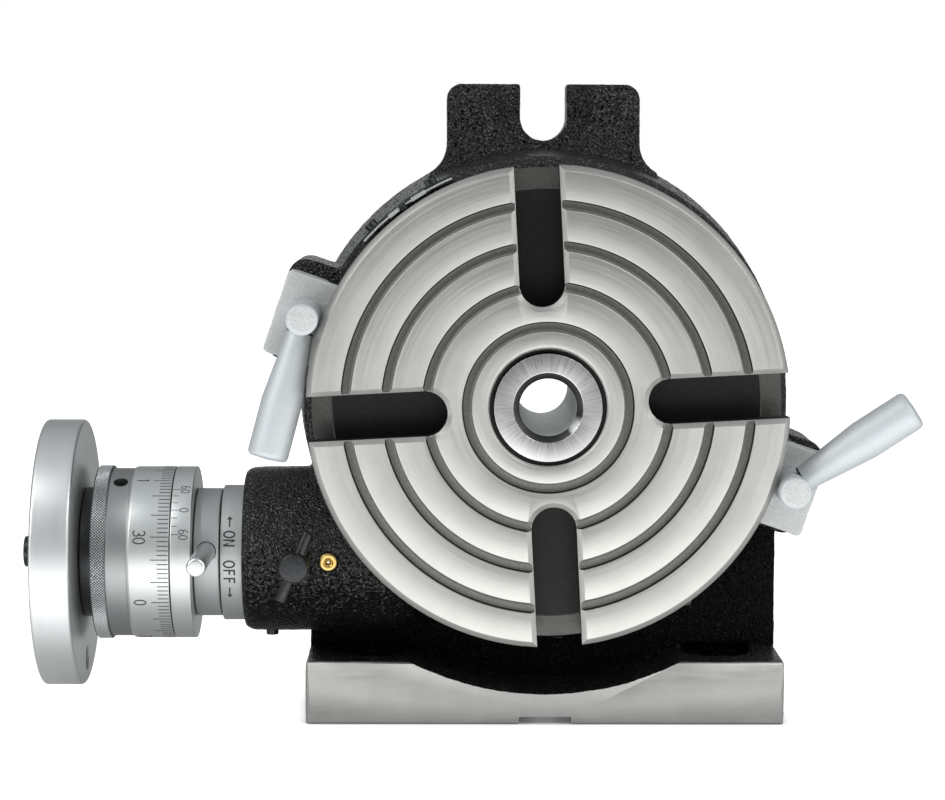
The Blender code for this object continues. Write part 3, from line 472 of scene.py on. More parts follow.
MATERIALS = {
    "face": turned_metal("turned_face", (0.44, 0.44, 0.416), (0.54, 0.54, 0.51), (0.36, 0.50), 2600.0,
                         0.35),
    "rim": turned_metal("turned_rim", (0.44, 0.44, 0.42), (0.56, 0.56, 0.53), (0.34, 0.48), 2200.0),
    # groove: grainy iron painted darker as shade in the V-grooves
    "groove": grainy("groove_grain_and_shade", (0.16, 0.16, 0.15), (0.36, 0.36, 0.34), (0.5, 0.7), 0.9, 1600.0,
                     1.2e-4),
    # slot: near-black iron, painted shade in the T-slots and on the grooves' outer walls
    "slot": grainy("slot_painted_shade", (0.009, 0.009, 0.0085), (0.020, 0.020, 0.019), (0.35, 0.5), 0.5, 900.0,
                   3e-5),
    # ledge: dark iron, a lighter painted shade for the T-slots' outer floor and step and the groove floors
    "ledge_shade": grainy("slot_step_painted_shade", (0.09, 0.09, 0.085), (0.14, 0.14, 0.13), (0.35, 0.5), 0.8, 900.0, 2e-5),
    # edge and chamfer: darker copies of the turned iron, painted shade on the chamfers round the nose ring
    # and the rim
    "edge": turned_metal("ring_edge_shade", (0.34, 0.34, 0.33), (0.46, 0.46, 0.445), (0.4, 0.5), 2200.0),
    "chamfer": turned_metal("rim_chamfer_shade", (0.30, 0.30, 0.285), (0.40, 0.40, 0.38), (0.42, 0.52), 2200.0),
    "nose": streaked_metal(),
    "bore": grainy("bored_steel", (0.36, 0.40, 0.38), (0.72, 0.76, 0.73), (0.3, 0.5), 0.7, 700.0, 8e-5),
    "paint": crinkle_paint("crinkle_black", 0.36),
    # recess: the same crinkle paint with little gloss and dim sparkles, painted shade for faces under things
    # and the block fronts
    "recess": crinkle_paint("crinkle_painted_shade", 0.07),
    "milled": milled_metal("milled_iron", (0.46, 0.46, 0.44), (0.57, 0.57, 0.55), (0.4, 0.55),
                           (60.0, 400.0, 900.0)),
    # inside: machined iron painted dark as shade within the casting's hollow and worm tunnel
    "hollow_shade": grainy("hollow_iron_shade", (0.10, 0.10, 0.095), (0.2, 0.2, 0.19), (0.4, 0.6), 0.9, 600.0, 3e-5),
    "wheel": turned_metal("satin_wheel", (0.61, 0.625, 0.625), (0.67, 0.685, 0.685), (0.38, 0.46), 5000.0,
                          0.2),
    "dial": turned_metal("satin_dial", (0.57, 0.595, 0.59), (0.63, 0.655, 0.65), (0.36, 0.44), 6000.0,
                         0.2),
    "band": turned_metal("dull_band", (0.30, 0.315, 0.315), (0.37, 0.385, 0.385), (0.42, 0.5), 4000.0),
    "knurl": knurled_metal(),
    "steel": turned_metal("ground_steel", (0.41, 0.43, 0.43), (0.49, 0.51, 0.51), (0.48, 0.58), 5000.0,
                          0.2),
    "pin": turned_metal("pin_steel", (0.60, 0.61, 0.61), (0.75, 0.76, 0.76), (0.28, 0.4), 3000.0),
    "ink": grainy("engraving_ink", (0.012, 0.014, 0.014), (0.035, 0.04, 0.04), (0.5, 0.7), 0.0, 2000.0,
                  1e-5),
    "oxide": grainy("black_oxide", (0.020, 0.021, 0.022), (0.050, 0.052, 0.055), (0.26, 0.4), 0.75,
                    1200.0, 3e-5),
    "silver": grainy("silver_paint", (0.46, 0.49, 0.505), (0.54, 0.57, 0.585), (0.5, 0.6), 0.4, 1800.0,
                     2.5e-5),
    "rough_silver": grainy("cast_silver", (0.39, 0.40, 0.40), (0.62, 0.63, 0.63), (0.5, 0.62), 0.45,
                           1500.0, 1.6e-4),
    "brass": grainy("oiler_brass", (0.55, 0.37, 0.11), (0.78, 0.58, 0.24), (0.2, 0.4), 1.0, 1500.0, 2e-5),
    "bronze": grainy("gear_bronze", (0.45, 0.27, 0.11), (0.62, 0.40, 0.18), (0.3, 0.45), 1.0, 800.0, 2e-5),
    "chrome": grainy("ball_steel", (0.75, 0.75, 0.75), (0.85, 0.85, 0.85), (0.08, 0.15), 1.0, 900.0, 2e-6),
    # gap: near black, painted shade in the gap round the nose and at the levers' necks
    "gap_shade": grainy("painted_ring_shade", (0.004, 0.004, 0.004), (0.012, 0.012, 0.012), (0.5, 0.7), 0.0, 1500.0, 2e-5),
    "mouth": mouth_metal(),
    "plate": turned_metal("scale_plate", (0.68, 0.70, 0.70), (0.80, 0.82, 0.82), (0.40, 0.52), 2500.0),
    "shadow": grainy("keyway_painted_shadow", (0.006, 0.006, 0.006), (0.014, 0.014, 0.014), (0.5, 0.7), 0.0, 900.0,
                     1e-4),
    "kept_steel": grainy("turned_steel", (0.40, 0.41, 0.41), (0.52, 0.53, 0.53), (0.26, 0.4), 1.0, 1200.0,
                         1e-5),
    "wire": grainy("spring_wire", (0.35, 0.35, 0.36), (0.5, 0.5, 0.51), (0.3, 0.45), 1.0, 900.0, 5e-6),
}


# ---------------------------------------------------------------- table and spindle

TABLE_R = (span("table", 0)[1] - span("table", 0)[0]) / 2
TABLE_TURN = math.radians(3.0)  # the table stands a little off square, anticlockwise from the front
RIM_EDGE = 1.8
SCALE_R = 73.9
SCALE_FROM, SCALE_TO = 13.0, 20.0
CLAMP_GROOVE_R = 67.0
FLANGE_R = 72.5
FLANGE_FROM, TABLE_BACK = 24.9, 30.0
GROOVE_RADII = (25.0, 37.5, 50.0, 62.5)
GROOVE_HALF = 1.6
GROOVE_DEPTH = 1.3
SLOT_COUNT = 4
SLOT_HALF = 7.0
SLOT_EDGE = 1.5
SLOT_INNER = 38.0
SLOT_FAR = TABLE_R + 5  # a cutter runs out past the rim
UNDERCUT_HALF = 11.0
UNDERCUT_FROM = 10.0
SLOT_FLOOR = 18.1
FLOOR_STEP_R = 67.6
NOSE_R = (span("spindle_sleeve", 0)[1] - span("spindle_sleeve", 0)[0]) / 2
NOSE_RING_R = 17.9
NOSE_RING_EDGE = 1.0
NOSE_RING_DEPTH = 3.0
BORE_MOUTH_R, BORE_R = 10.9, 8.9
BORE_MOUTH_DEPTH = 2.0
HUB_R = 36.0
SEAT_R = 24.0
JOURNAL_R = 21.9
WHEEL_FRONT, WHEEL_BACK = span("worm_wheel", 1)
BACK = span("base_casting", 1)[1]


def table_outline():
    """(radius, depth) of the table, from the bore's back out along the face and round."""
    bore = JOURNAL_R - 4.9
    face = [(bore, 83.0), (bore, NOSE_RING_DEPTH), (NOSE_RING_R, NOSE_RING_DEPTH)]
    face += [(NOSE_RING_R, NOSE_RING_EDGE), (NOSE_RING_R + NOSE_RING_EDGE, 0)]
    for radius in GROOVE_RADII:
        floor = [(radius - 0.95, GROOVE_DEPTH - 0.1), (radius + 1.2, GROOVE_DEPTH)]
        face += [(radius - GROOVE_HALF, 0), *floor, (radius + GROOVE_HALF, 0)]
    rim = [(TABLE_R - RIM_EDGE, 0), (TABLE_R, RIM_EDGE), (TABLE_R, SCALE_FROM), (SCALE_R, SCALE_FROM)]
    rim += [(SCALE_R, SCALE_TO), (CLAMP_GROOVE_R, SCALE_TO), (CLAMP_GROOVE_R, FLANGE_FROM)]
    rim += [(FLANGE_R, FLANGE_FROM), (FLANGE_R, TABLE_BACK)]
    hub = [(HUB_R, TABLE_BACK), (HUB_R, WHEEL_FRONT - 0.3), (SEAT_R, WHEEL_FRONT - 0.3),
           (SEAT_R, WHEEL_BACK)]
    journal = [(JOURNAL_R, WHEEL_BACK), (JOURNAL_R, 73.0), (20.0, 73.0), (20.0, 83.0)]
    return softened(face + rim + hub + journal, 0.22, 2, closed=True)


def slot_ring(half, depth):
    """One slot's outline at one depth, from its round inner end out past the rim, along +X."""
    end = arc((SLOT_INNER, 0), half, math.pi / 2, 1.5 * math.pi, 24)
    return [(x, y, depth) for x, y in [(SLOT_FAR, half), *end, (SLOT_FAR, -half)]]


def slot_cutters(index):
    """The throat, undercut and stepped floor of one T-slot."""
    throat = loft([slot_ring(SLOT_HALF + SLOT_EDGE + 1, -1), slot_ring(SLOT_HALF, SLOT_EDGE),
                   slot_ring(SLOT_HALF, 14)])
    undercut = loft([slot_ring(UNDERCUT_HALF, UNDERCUT_FROM), slot_ring(UNDERCUT_HALF, SLOT_FLOOR)])
    high, deep = SLOT_FLOOR - 2, SLOT_FLOOR + 0.5
    outline = [(FLOOR_STEP_R - 0.45, high), (SLOT_FAR, high), (SLOT_FAR, deep), (FLOOR_STEP_R, deep)]
    step = lathe([*outline, (FLOOR_STEP_R - 0.45, SLOT_FLOOR + 0.05)], 256)
    limit = box((50, -UNDERCUT_HALF, SLOT_FLOOR - 4), (TABLE_R + 9, UNDERCUT_HALF, SLOT_FLOOR + 2))
    turn = Matrix.Rotation(index * TAU / SLOT_COUNT, 4, "Z")
    scratch = raw_object(step)
    combine(scratch, [limit], "INTERSECT")
    shallow = bmesh.new()
    shallow.from_mesh(scratch.data)
    bpy.data.objects.remove(scratch)
    for bm in (throat, undercut, shallow):
        bm.transform(turn)
    return [throat, undercut, shallow]


def in_slot(point):
    """Whether a point lies between the walls of one of the T-slots, edges included."""
    along, across = max(abs(point.x), abs(point.y)), min(abs(point.x), abs(point.y))
    return across < UNDERCUT_HALF + 0.05 and along > SLOT_INNER - UNDERCUT_HALF - 0.05


def table_finish(centre, normal):
    radius = math.hypot(centre.x, centre.y)
    if centre.z < 0.03:
        return 0
    # T-slot walls and floor painted near black as shade; the step and the floor beyond it a lighter painted
    # shade
    if SLOT_EDGE + 0.05 < centre.z < SLOT_FLOOR + 0.6 and in_slot(centre) and radius < TABLE_R - 0.05:
        on_step = FLOOR_STEP_R - 0.6 < radius < FLOOR_STEP_R + 0.1 and centre.z > SLOT_FLOOR - 0.1
        if on_step and abs(normal.z) < 0.98:
            return 5
        return 5 if radius > FLOOR_STEP_R - 0.1 and centre.z > UNDERCUT_FROM + 0.1 else 2
    # V-grooves: slopes painted darker as shade, the outer wall near black and the floor a dark painted shade
    if centre.z < GROOVE_DEPTH + 0.05 and any(abs(radius - r) < GROOVE_HALF + 0.05 for r in GROOVE_RADII):
        outer_wall = any(r + 1.1 < radius < r + 1.45 and centre.z > 0.3 for r in GROOVE_RADII)
        return 2 if outer_wall else 5 if centre.z > GROOVE_DEPTH - 0.2 else 1
    # the table's bore and the ring gap round the nose painted near black as shade
    if radius < NOSE_RING_R + 0.1:
        return 3
    # the chamfers round the nose ring and the rim take the darker painted-shade copies of the turned iron
    if centre.z < NOSE_RING_EDGE + 0.1 and radius < NOSE_RING_R + NOSE_RING_EDGE + 0.1:
        return 6
    return 7 if centre.z < RIM_EDGE + 0.1 and radius > TABLE_R - RIM_EDGE - 0.1 else 4


def make_table():
    obj = raw_object(lathe(table_outline(), 256))
    for index in range(SLOT_COUNT):
        combine(obj, slot_cutters(index), "DIFFERENCE")
    paint(obj, [MATERIALS[name] for name in ("face", "groove", "slot", "gap_shade", "rim", "ledge_shade", "edge",
                                             "chamfer")], table_finish)
    turn = (ALONG_Y[0], -TABLE_TURN, 0)
    finish_piece(obj, "turned_table", "rotary_table", ["table"], turn=turn)


def make_spindle():
    outline = [(BORE_R, BACK), (BORE_R, BORE_MOUTH_DEPTH), (BORE_MOUTH_R, 0), (NOSE_R, 0), (NOSE_R, BACK)]
    obj = raw_object(lathe(softened(outline, 0.12, 3, closed=True), 160))

    def rule(centre, normal):
        radius = math.hypot(centre.x, centre.y)
        if radius < BORE_MOUTH_R and 0.15 < centre.z < BORE_MOUTH_DEPTH + 0.1:
            return 1
        return 2 if radius < BORE_R + 0.1 else 0

    paint(obj, [MATERIALS[name] for name in ("nose", "mouth", "bore")], rule)
    finish_piece(obj, "spindle_nose", "rotary_table", ["spindle_sleeve"], turn=ALONG_Y)


# ---------------------------------------------------------------- engraving


def on_barrel(radius):
    """Maps (u along X, v up round the front) and a height to a point round the worm axis."""

    def point(u, v, height):
        angle = v / radius
        return Vector((u, -(radius + height) * math.cos(angle), (radius + height) * math.sin(angle)))

    return point


MARK_LOW, MARK_HIGH = -0.05, 0.02  # a mark is let in this far and stands this proud


def ribbon(bm, path, width, surface, closed=False):
    """A thin band along a path of (u, v) points, let into a surface."""
    count = len(path)
    rows = []
    for i, here in enumerate(path):
        back = path[i - 1] if closed or i else here
        ahead = path[(i + 1) % count] if closed or i < count - 1 else here
        along = (Vector(ahead) - Vector(back)).normalized()
        across = Vector((-along.y, along.x)) * width / 2
        left, right = Vector(here) + across, Vector(here) - across
        corners = ((left, MARK_LOW), (right, MARK_LOW), (right, MARK_HIGH), (left, MARK_HIGH))
        rows.append([bm.verts.new(surface(p.x, p.y, h)) for p, h in corners])
    pairs = list(zip(rows, rows[1:]))
    if closed:
        pairs.append((rows[-1], rows[0]))
    for first, second in pairs:
        for i in range(4):
            j = (i + 1) % 4
            bm.faces.new((first[i], first[j], second[j], second[i]))
    if not closed:
        bm.faces.new(reversed(rows[0]))
        bm.faces.new(rows[-1])


def oval(half_wide, half_high, middle=(0.0, 0.0), start=0.0, end=TAU, steps=24):
    """Points round part of an ellipse, in a glyph's own (right, up) directions."""
    angles = [start + (end - start) * i / steps for i in range(steps + 1)]
    return [(middle[0] + half_wide * math.cos(a), middle[1] + half_high * math.sin(a)) for a in angles]


def straight(*points):
    return [(list(points), False)]


RIM_PITCH = 0.62
GLYPHS = {
    "0": [(oval(0.24, 0.5)[:-1], True)],
    "1": straight((0, -0.5), (0, 0.5)) + straight((0, 0.5), (-0.14, 0.33)),
    "2": [([*oval(0.24, 0.25, (0, 0.25), 3.0, -0.6, 16), (-0.25, -0.5), (0.27, -0.5)], False)],
    "3": [(oval(0.22, 0.26, (0, 0.24), 2.6, -TAU / 4), False),
          (oval(0.25, 0.26, (0, -0.24), TAU / 4, -2.6), False)],
    "4": straight((0.1, -0.5), (0.1, 0.5)) + straight((0.1, 0.5), (-0.28, -0.2)) + straight((-0.28, -0.2),
                                                                                            (0.28, -0.2)),
    "5": straight((0.22, 0.48), (-0.18, 0.48),
                  (-0.2, 0.06)) + [(oval(0.25, 0.3, (0, -0.2), 2.4, -2.5, 18), False)],
    "6": [(oval(0.24, 0.27, (0, -0.23))[:-1], True), (oval(0.26, 0.62, (0.02, -0.12), 2.9, 1.15), False)],
    "7": straight((-0.25, 0.48), (0.24, 0.48), (-0.08, -0.5)),
    "8": [(oval(0.2, 0.23, (0, 0.26))[:-1], True), (oval(0.25, 0.26, (0, -0.24))[:-1], True)],
    "9": [(oval(0.24, 0.27, (0, 0.23))[:-1], True), (oval(0.26, 0.62, (-0.02, 0.12), -0.24, -2.0), False)],
    "O": [(oval(0.28, 0.46)[:-1], True)],
    "N": straight((-0.24, -0.5), (-0.24, 0.5)) + straight((-0.24, 0.5),
                                                          (0.24, -0.5)) + straight((0.24, -0.5),
                                                                                   (0.24, 0.5)),
    "F": straight((-0.2, -0.5), (-0.2, 0.5)) + straight((-0.26, 0.44),
                                                        (0.24, 0.44)) + straight((-0.2, 0.02),
                                                                                 (0.18, 0.02)),
}


def write(bm, text, surface, u, v, size, stroke, pitch, wide=1.0):
    """Engraves text read downwards, its tops towards +X, centred on (u, v)."""
    first = v + pitch * size * (len(text) - 1) / 2
    for i, letter in enumerate(text):
        for path, closed in GLYPHS[letter]:
            placed = [(u + up * size, first - i * pitch * size - right * size * wide) for right,
                      up in path]
            ribbon(bm, placed, stroke, surface, closed)


def write_along(bm, text, surface, u, v, size, stroke):
    """Engraves text that runs along v, its tops towards lower u, centred on (u, v)."""
    first = v - RIM_PITCH * size * (len(text) - 1) / 2
    for i, letter in enumerate(text):
        for path, closed in GLYPHS[letter]:
            placed = [(u - up * size, first + i * RIM_PITCH * size + right * size) for right, up in path]
            ribbon(bm, placed, stroke, surface, closed)


def engraving(bm, name, body, place):
    obj = raw_object(bm)
    paint(obj, [MATERIALS["ink"]])
    return finish_piece(obj, name, body, place=place)


def on_ring(radius):
    """Maps u along the table's axis, v round the rim and a height to a point that turns with the table."""

    def point(u, v, height):
        angle = v / radius
        return Vector(((radius + height) * math.cos(angle), (radius + height) * math.sin(angle), u))

    return point


def make_rim_scale():
    """Degree marks on the table's rim band, numbered every ten."""
    marks = bmesh.new()
    surface = on_ring(SCALE_R)
    for degree in range(360):
        v = SCALE_R * math.radians(degree)
        length = 3.0 if degree % 10 == 0 else 2.4 if degree % 5 == 0 else 1.7
        ribbon(marks, [(SCALE_TO - 0.3, v), (SCALE_TO - 0.3 - length, v)], 0.16, surface)
        if degree % 10 == 0:
            write_along(marks, str(degree), surface, SCALE_TO - 5.1, v, 2.2, 0.2)
    obj = raw_object(marks)
    paint(obj, [MATERIALS["ink"]])
    turn = (ALONG_Y[0], -TABLE_TURN, 0)
    finish_piece(obj, "rim_scale", "rotary_table", turn=turn)


# ---------------------------------------------------------------- worm end: sleeve, vernier, dial,
# handwheel

WORM_AT = (0, axis_of("worm_spin").y, axis_of("worm_spin").z)
SLEEVE_AT = (0, axis_of("cam_throw").y, axis_of("cam_throw").z)
DIAL_LEFT, DIAL_RIGHT = span("dial_barrel", 0)
DIAL_R = 27.8
BAND_LEFT, BAND_RIGHT = -139.2, -132.2
BAND_R = 27.2
VERNIER_LEFT, VERNIER_RIGHT = span("vernier_ring", 0)
TICKS = 120
TICK_PITCH = TAU / TICKS
ZERO_AT = math.radians(-27.7)  # where the dial's 0 stands, above the front
VERNIER_ZERO = math.radians(36.0)
VERNIER_PITCH = math.radians(5.7)
SHAFT_R = 7.4
STUB_R = 4.0
HANDWHEEL_LEFT, HANDWHEEL_RIGHT = span("handwheel", 0)
HANDWHEEL_R = (span("handwheel", 2)[1] - span("handwheel", 2)[0]) / 2
HANDLE_HOLE_R = 3.85
HANDLE_HOLE_AT = 35.0


def knurled_band(left, right):
    """A closed ring whose outside is a lattice of raised diamonds."""
    bm = bmesh.new()
    columns = 2 * KNURLS_ROUND
    pitch = TAU * KNURL_R / KNURLS_ROUND
    rows = 2 * round((right - left) / pitch)
    inner = KNURL_R - 2.5
    lines = []
    for j in range(rows + 1):
        x = left + (right - left) * j / rows
        eased = KNURL_DEPTH * 1.5 if j in (0, rows) else 0
        line = []
        for i in range(columns):
            low = KNURL_DEPTH if (i + j) % 2 else 0
            radius = KNURL_R - max(low, eased)
            angle = TAU * i / columns
            line.append(bm.verts.new((radius * math.cos(angle), radius * math.sin(angle), x)))
        lines.append(line)
    for x in (right, left):
        turns = [TAU * i / columns for i in range(columns)]
        lines.append([bm.verts.new((inner * math.cos(a), inner * math.sin(a), x)) for a in turns])
    for j, line in enumerate(lines):
        above = lines[(j + 1) % len(lines)]
        for i in range(columns):
            k = (i + 1) % columns
            if j >= rows:
                bm.faces.new((line[i], line[k], above[k], above[i]))
            elif (i + j) % 2:
                bm.faces.new((line[i], line[k], above[k]))
                bm.faces.new((line[i], above[k], above[i]))
            else:
                bm.faces.new((line[i], line[k], above[i]))
                bm.faces.new((line[k], above[k], above[i]))
    bmesh.ops.recalc_face_normals(bm, faces=bm.faces)
    return bm


def make_dial():
    left = BAND_LEFT - 0.15
    body = [(SHAFT_R + 0.3, DIAL_LEFT), (KNURL_R - 2.0, DIAL_LEFT), (KNURL_R - 1.2, DIAL_LEFT + 0.05)]
    body += [(KNURL_R - 0.65, left), (BAND_R, left), (BAND_R, BAND_RIGHT - 0.5),
             (DIAL_R, BAND_RIGHT + 0.5)]
    body += [(DIAL_R, DIAL_RIGHT), (20, DIAL_RIGHT), (20, -129), (SHAFT_R + 0.3, -129)]
    obj = raw_object(lathe(softened(body, 0.3, 3, closed=True), 192))
    middle = (BAND_LEFT + BAND_RIGHT) / 2
    hole = rod(2.35, 7, 30, 32)
    above_front = math.radians(62.5)
    place_hole = Matrix.Rotation(math.radians(90) - above_front, 4, "X")
    hole.transform(Matrix.Translation((middle, 0, 0)) @ place_hole)
    back_to_local = Matrix.Rotation(-math.pi / 2, 4, "Y")
    hole.transform(back_to_local)
    combine(obj, [hole], "DIFFERENCE")

    def rule(centre, normal):
        if centre.z < BAND_LEFT:
            return 1
        return 1 if centre.z < BAND_RIGHT - 0.2 else 0

    paint(obj, [MATERIALS["dial"], MATERIALS["band"]], rule)
    finish_piece(obj, "dial_body", "dial", ["dial_barrel"], WORM_AT, ALONG_X)
    knurl = raw_object(knurled_band(DIAL_LEFT + 0.05, BAND_LEFT))
    paint(knurl, [MATERIALS["knurl"]])
    finish_piece(knurl, "dial_knurl", "dial", (), WORM_AT, ALONG_X, sharp=20)
    marks = bmesh.new()
    surface = on_barrel(DIAL_R)
    for i in range(TICKS):
        v = DIAL_R * (ZERO_AT + i * TICK_PITCH)
        length = 5.6 if i % 5 == 0 else 3.5
        ribbon(marks, [(DIAL_RIGHT - 0.25, v), (DIAL_RIGHT - 0.25 - length, v)], 0.3, surface)
        if i % 15 == 0:
            number = "0" if i == 0 else str(i // 30) if i % 30 == 0 else "30"
            write(marks, number, surface, DIAL_RIGHT - 9.4, v, 3.7, 0.42, 0.66)
    engraving(marks, "dial_marks", "dial", WORM_AT)


def make_vernier():
    outline = [(8.5, VERNIER_LEFT), (DIAL_R, VERNIER_LEFT), (DIAL_R, VERNIER_RIGHT), (13.2, VERNIER_RIGHT)]
    outline += [(13.2, VERNIER_LEFT + 1.7), (8.5, VERNIER_LEFT + 1.7)]
    obj = raw_object(lathe(softened(outline, 0.35, 3, closed=True), 192))
    paint(obj, [MATERIALS["dial"]])
    finish_piece(obj, "vernier_body", "cam_sleeve", ["vernier_ring"], WORM_AT, ALONG_X)
    marks = bmesh.new()
    surface = on_barrel(DIAL_R)
    for i in range(-3, 4):
        v = DIAL_R * (VERNIER_ZERO + i * VERNIER_PITCH)
        ribbon(marks, [(VERNIER_LEFT + 0.25, v), (VERNIER_LEFT + (2.9 if i % 3 == 0 else 2.2), v)], 0.22,
               surface)
        if i % 3 == 0:
            write(marks, "0" if i == 0 else "60", surface, VERNIER_LEFT + 4.2, v, 2.7, 0.27, 0.66)
    engraving(marks, "vernier_marks", "cam_sleeve", WORM_AT)


def make_handwheel():
    outline = [(STUB_R + 0.3, HANDWHEEL_LEFT), (HANDWHEEL_R, HANDWHEEL_LEFT),
               (HANDWHEEL_R, HANDWHEEL_RIGHT)]
    outline += [(STUB_R + 0.3, HANDWHEEL_RIGHT)]
    obj = raw_object(lathe(softened(outline, 1.3, 6, closed=True), 256))
    left, right = HANDWHEEL_LEFT, HANDWHEEL_RIGHT
    hole = [(0, left - 1), (HANDLE_HOLE_R + 1.4, left - 1), (HANDLE_HOLE_R, left + 0.4),
            (HANDLE_HOLE_R, right - 0.4)]
    hole += [(HANDLE_HOLE_R + 1.4, right + 1), (0, right + 1)]
    keyway = box((2, -1.3, left + 1), (6.3, 1.3, right + 1))
    keyway.transform(Matrix.Rotation(math.pi, 4, "Z"))
    combine(obj, [moved(lathe(hole, 48), (HANDLE_HOLE_AT, 0, 0)), keyway], "DIFFERENCE")
    paint(obj, [MATERIALS["wheel"]])
    finish_piece(obj, "handwheel_rim", "worm", ["handwheel"], WORM_AT, ALONG_X)


def make_handwheel_bolt():
    left, right = span("handwheel_bolt", 0)
    radius = (span("handwheel_bolt", 2)[1] - span("handwheel_bolt", 2)[0]) / 2
    head = HANDWHEEL_LEFT - 0.3
    outline = [(0, left), (radius, left), (radius, head), (1.9, head), (1.9, right), (0, right)]
    obj = raw_object(lathe(softened(outline, 0.5, 4), 64))
    combine(obj, [rod(2.5, left - 1, left + 3, 6)], "DIFFERENCE")
    paint(obj, [MATERIALS["oxide"]])
    finish_piece(obj, "handwheel_screw", "worm", ["handwheel_bolt"], WORM_AT, ALONG_X)


def make_spacer():
    left, right = span("dial_spacer", 0)
    radius = (span("dial_spacer", 2)[1] - span("dial_spacer", 2)[0]) / 2
    outline = [(SHAFT_R + 0.3, left), (radius, left), (radius, right), (SHAFT_R + 0.3, right)]
    obj = raw_object(lathe(softened(outline, 0.4, 3, closed=True), 128))
    paint(obj, [MATERIALS["oxide"]])
    finish_piece(obj, "spacer_disc", "worm", ["dial_spacer"], WORM_AT, ALONG_X)


# ---------------------------------------------------------------- sleeve, collar and cam pin

FLANGE_LEFT, FLANGE_RIGHT = -112.0, -104.0
FLANGE_OUT_R = 20.7
COLLAR_LEFT, COLLAR_RIGHT = span("on_off_collar", 0)
COLLAR_R = (span("on_off_collar", 2)[1] - span("on_off_collar", 2)[0]) / 2
TUNNEL_R = 17.5
SLEEVE_R = 17.2
SLEEVE_END = span("eccentric_sleeve", 0)[1]
WINDOW_HALF = 33.0
WINDOW_FACING = math.radians(65)
PIN_LOW, PIN_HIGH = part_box("cam_lever")
PIN_AT = ((PIN_LOW + PIN_HIGH) / 2 - ORIGIN) / MM
PIN_TIP = span("cam_lever", 1)[0]
PIN_R = (span("cam_lever", 0)[1] - span("cam_lever", 0)[0]) / 2


def make_sleeve():
    """The eccentric sleeve: its flange turned about the worm, its barrel about its own axis."""
    offset = Vector(SLEEVE_AT) - Vector(WORM_AT)
    eccentric = (-offset.z, offset.y, 0)
    flange = [(0, FLANGE_LEFT), (FLANGE_OUT_R, FLANGE_LEFT), (FLANGE_OUT_R, FLANGE_RIGHT),
              (0, FLANGE_RIGHT)]
    obj = raw_object(lathe(softened(flange, 0.35, 3), 160))
    neck = moved(rod(SLEEVE_R - 1, FLANGE_RIGHT - 2, FLANGE_RIGHT + 3, 160), eccentric)
    barrel = moved(rod(SLEEVE_R, FLANGE_RIGHT + 0.3, SLEEVE_END, 160, 0.8), eccentric)
    combine(obj, [neck, barrel], "UNION")
    bore = [(0, -120), (13, -120), (13, -105.5), (SHAFT_R + 0.3, -105.5),
            (SHAFT_R + 0.3, -WINDOW_HALF - 1)]
    bore += [(8.6, -WINDOW_HALF), (8.6, WINDOW_HALF - 0.5), (4.9, WINDOW_HALF), (4.9, 60), (0, 60)]
    window = moved(box((-WINDOW_HALF, -1.5, -30), (WINDOW_HALF, 30, 30)), offset, (WINDOW_FACING, 0, 0))
    window.transform(Matrix.Rotation(-math.pi / 2, 4, "Y"))
    pin_hole = moved(rod(PIN_R + 0.2, -60, -13.7, 48), (WORM_AT[2] - PIN_AT.z, 0, PIN_AT.x), ALONG_Y)
    combine(obj, [lathe(bore, 96), window, pin_hole], "DIFFERENCE")
    paint(obj, [MATERIALS["steel"]])
    finish_piece(obj, "worm_sleeve", "cam_sleeve", ["eccentric_sleeve"], WORM_AT, ALONG_X)


def make_cam_pin():
    high = span("cam_lever", 1)[1]
    outline = [(0, PIN_TIP), (PIN_R - 0.7, PIN_TIP), (PIN_R, PIN_TIP + 0.7), (PIN_R, high), (0, high)]
    obj = raw_object(lathe(softened(outline, 0.45, 4), 64))
    paint(obj, [MATERIALS["pin"]])
    place = (PIN_AT.x, 0, PIN_AT.z)
    finish_piece(obj, "throw_pin", "cam_sleeve", ["cam_lever"], place, ALONG_Y)


ARROW_HALF = 0.95


def arrow_head(bm, surface, u, tip, barb):
    """A solid triangle let into a surface, pointing along v."""
    corners = [(u, tip), (u - ARROW_HALF, barb), (u + ARROW_HALF, barb)]
    low, high = ([bm.verts.new(surface(p, v, h)) for p, v in corners] for h in (MARK_LOW, MARK_HIGH))
    bm.faces.new(low)
    bm.faces.new(reversed(high))
    for i in range(3):
        j = (i + 1) % 3
        bm.faces.new((low[i], high[i], high[j], low[j]))
    bmesh.ops.recalc_face_normals(bm, faces=bm.faces)


def make_collar():
    outline = [(TUNNEL_R + 0.1, COLLAR_LEFT), (COLLAR_R, COLLAR_LEFT), (COLLAR_R, COLLAR_RIGHT)]
    outline += [(TUNNEL_R + 0.1, COLLAR_RIGHT)]
    obj = raw_object(lathe(softened(outline, 0.3, 3, closed=True), 160))
    paint(obj, [MATERIALS["steel"]])
    finish_piece(obj, "collar_ring", "base", ["on_off_collar"], SLEEVE_AT, ALONG_X)
    marks = bmesh.new()
    surface = on_barrel(COLLAR_R)
    middle = (COLLAR_LEFT + COLLAR_RIGHT) / 2 - 0.5
    for word, at, tail, tip in (("ON", 7.25, 11.1, 15.1), ("OFF", -3.7, -8.9, -12.9)):
        write(marks, word, surface, middle, at, 3.7, 0.56, 0.74, 0.98)
        barb = tip - math.copysign(1.3, tip)
        ribbon(marks, [(middle, tail), (middle, (tail + barb) / 2), (middle, barb)], 0.5, surface)
        arrow_head(marks, surface, middle, tip, barb)
    engraving(marks, "collar_marks", "base", SLEEVE_AT)


# ---------------------------------------------------------------- clamps

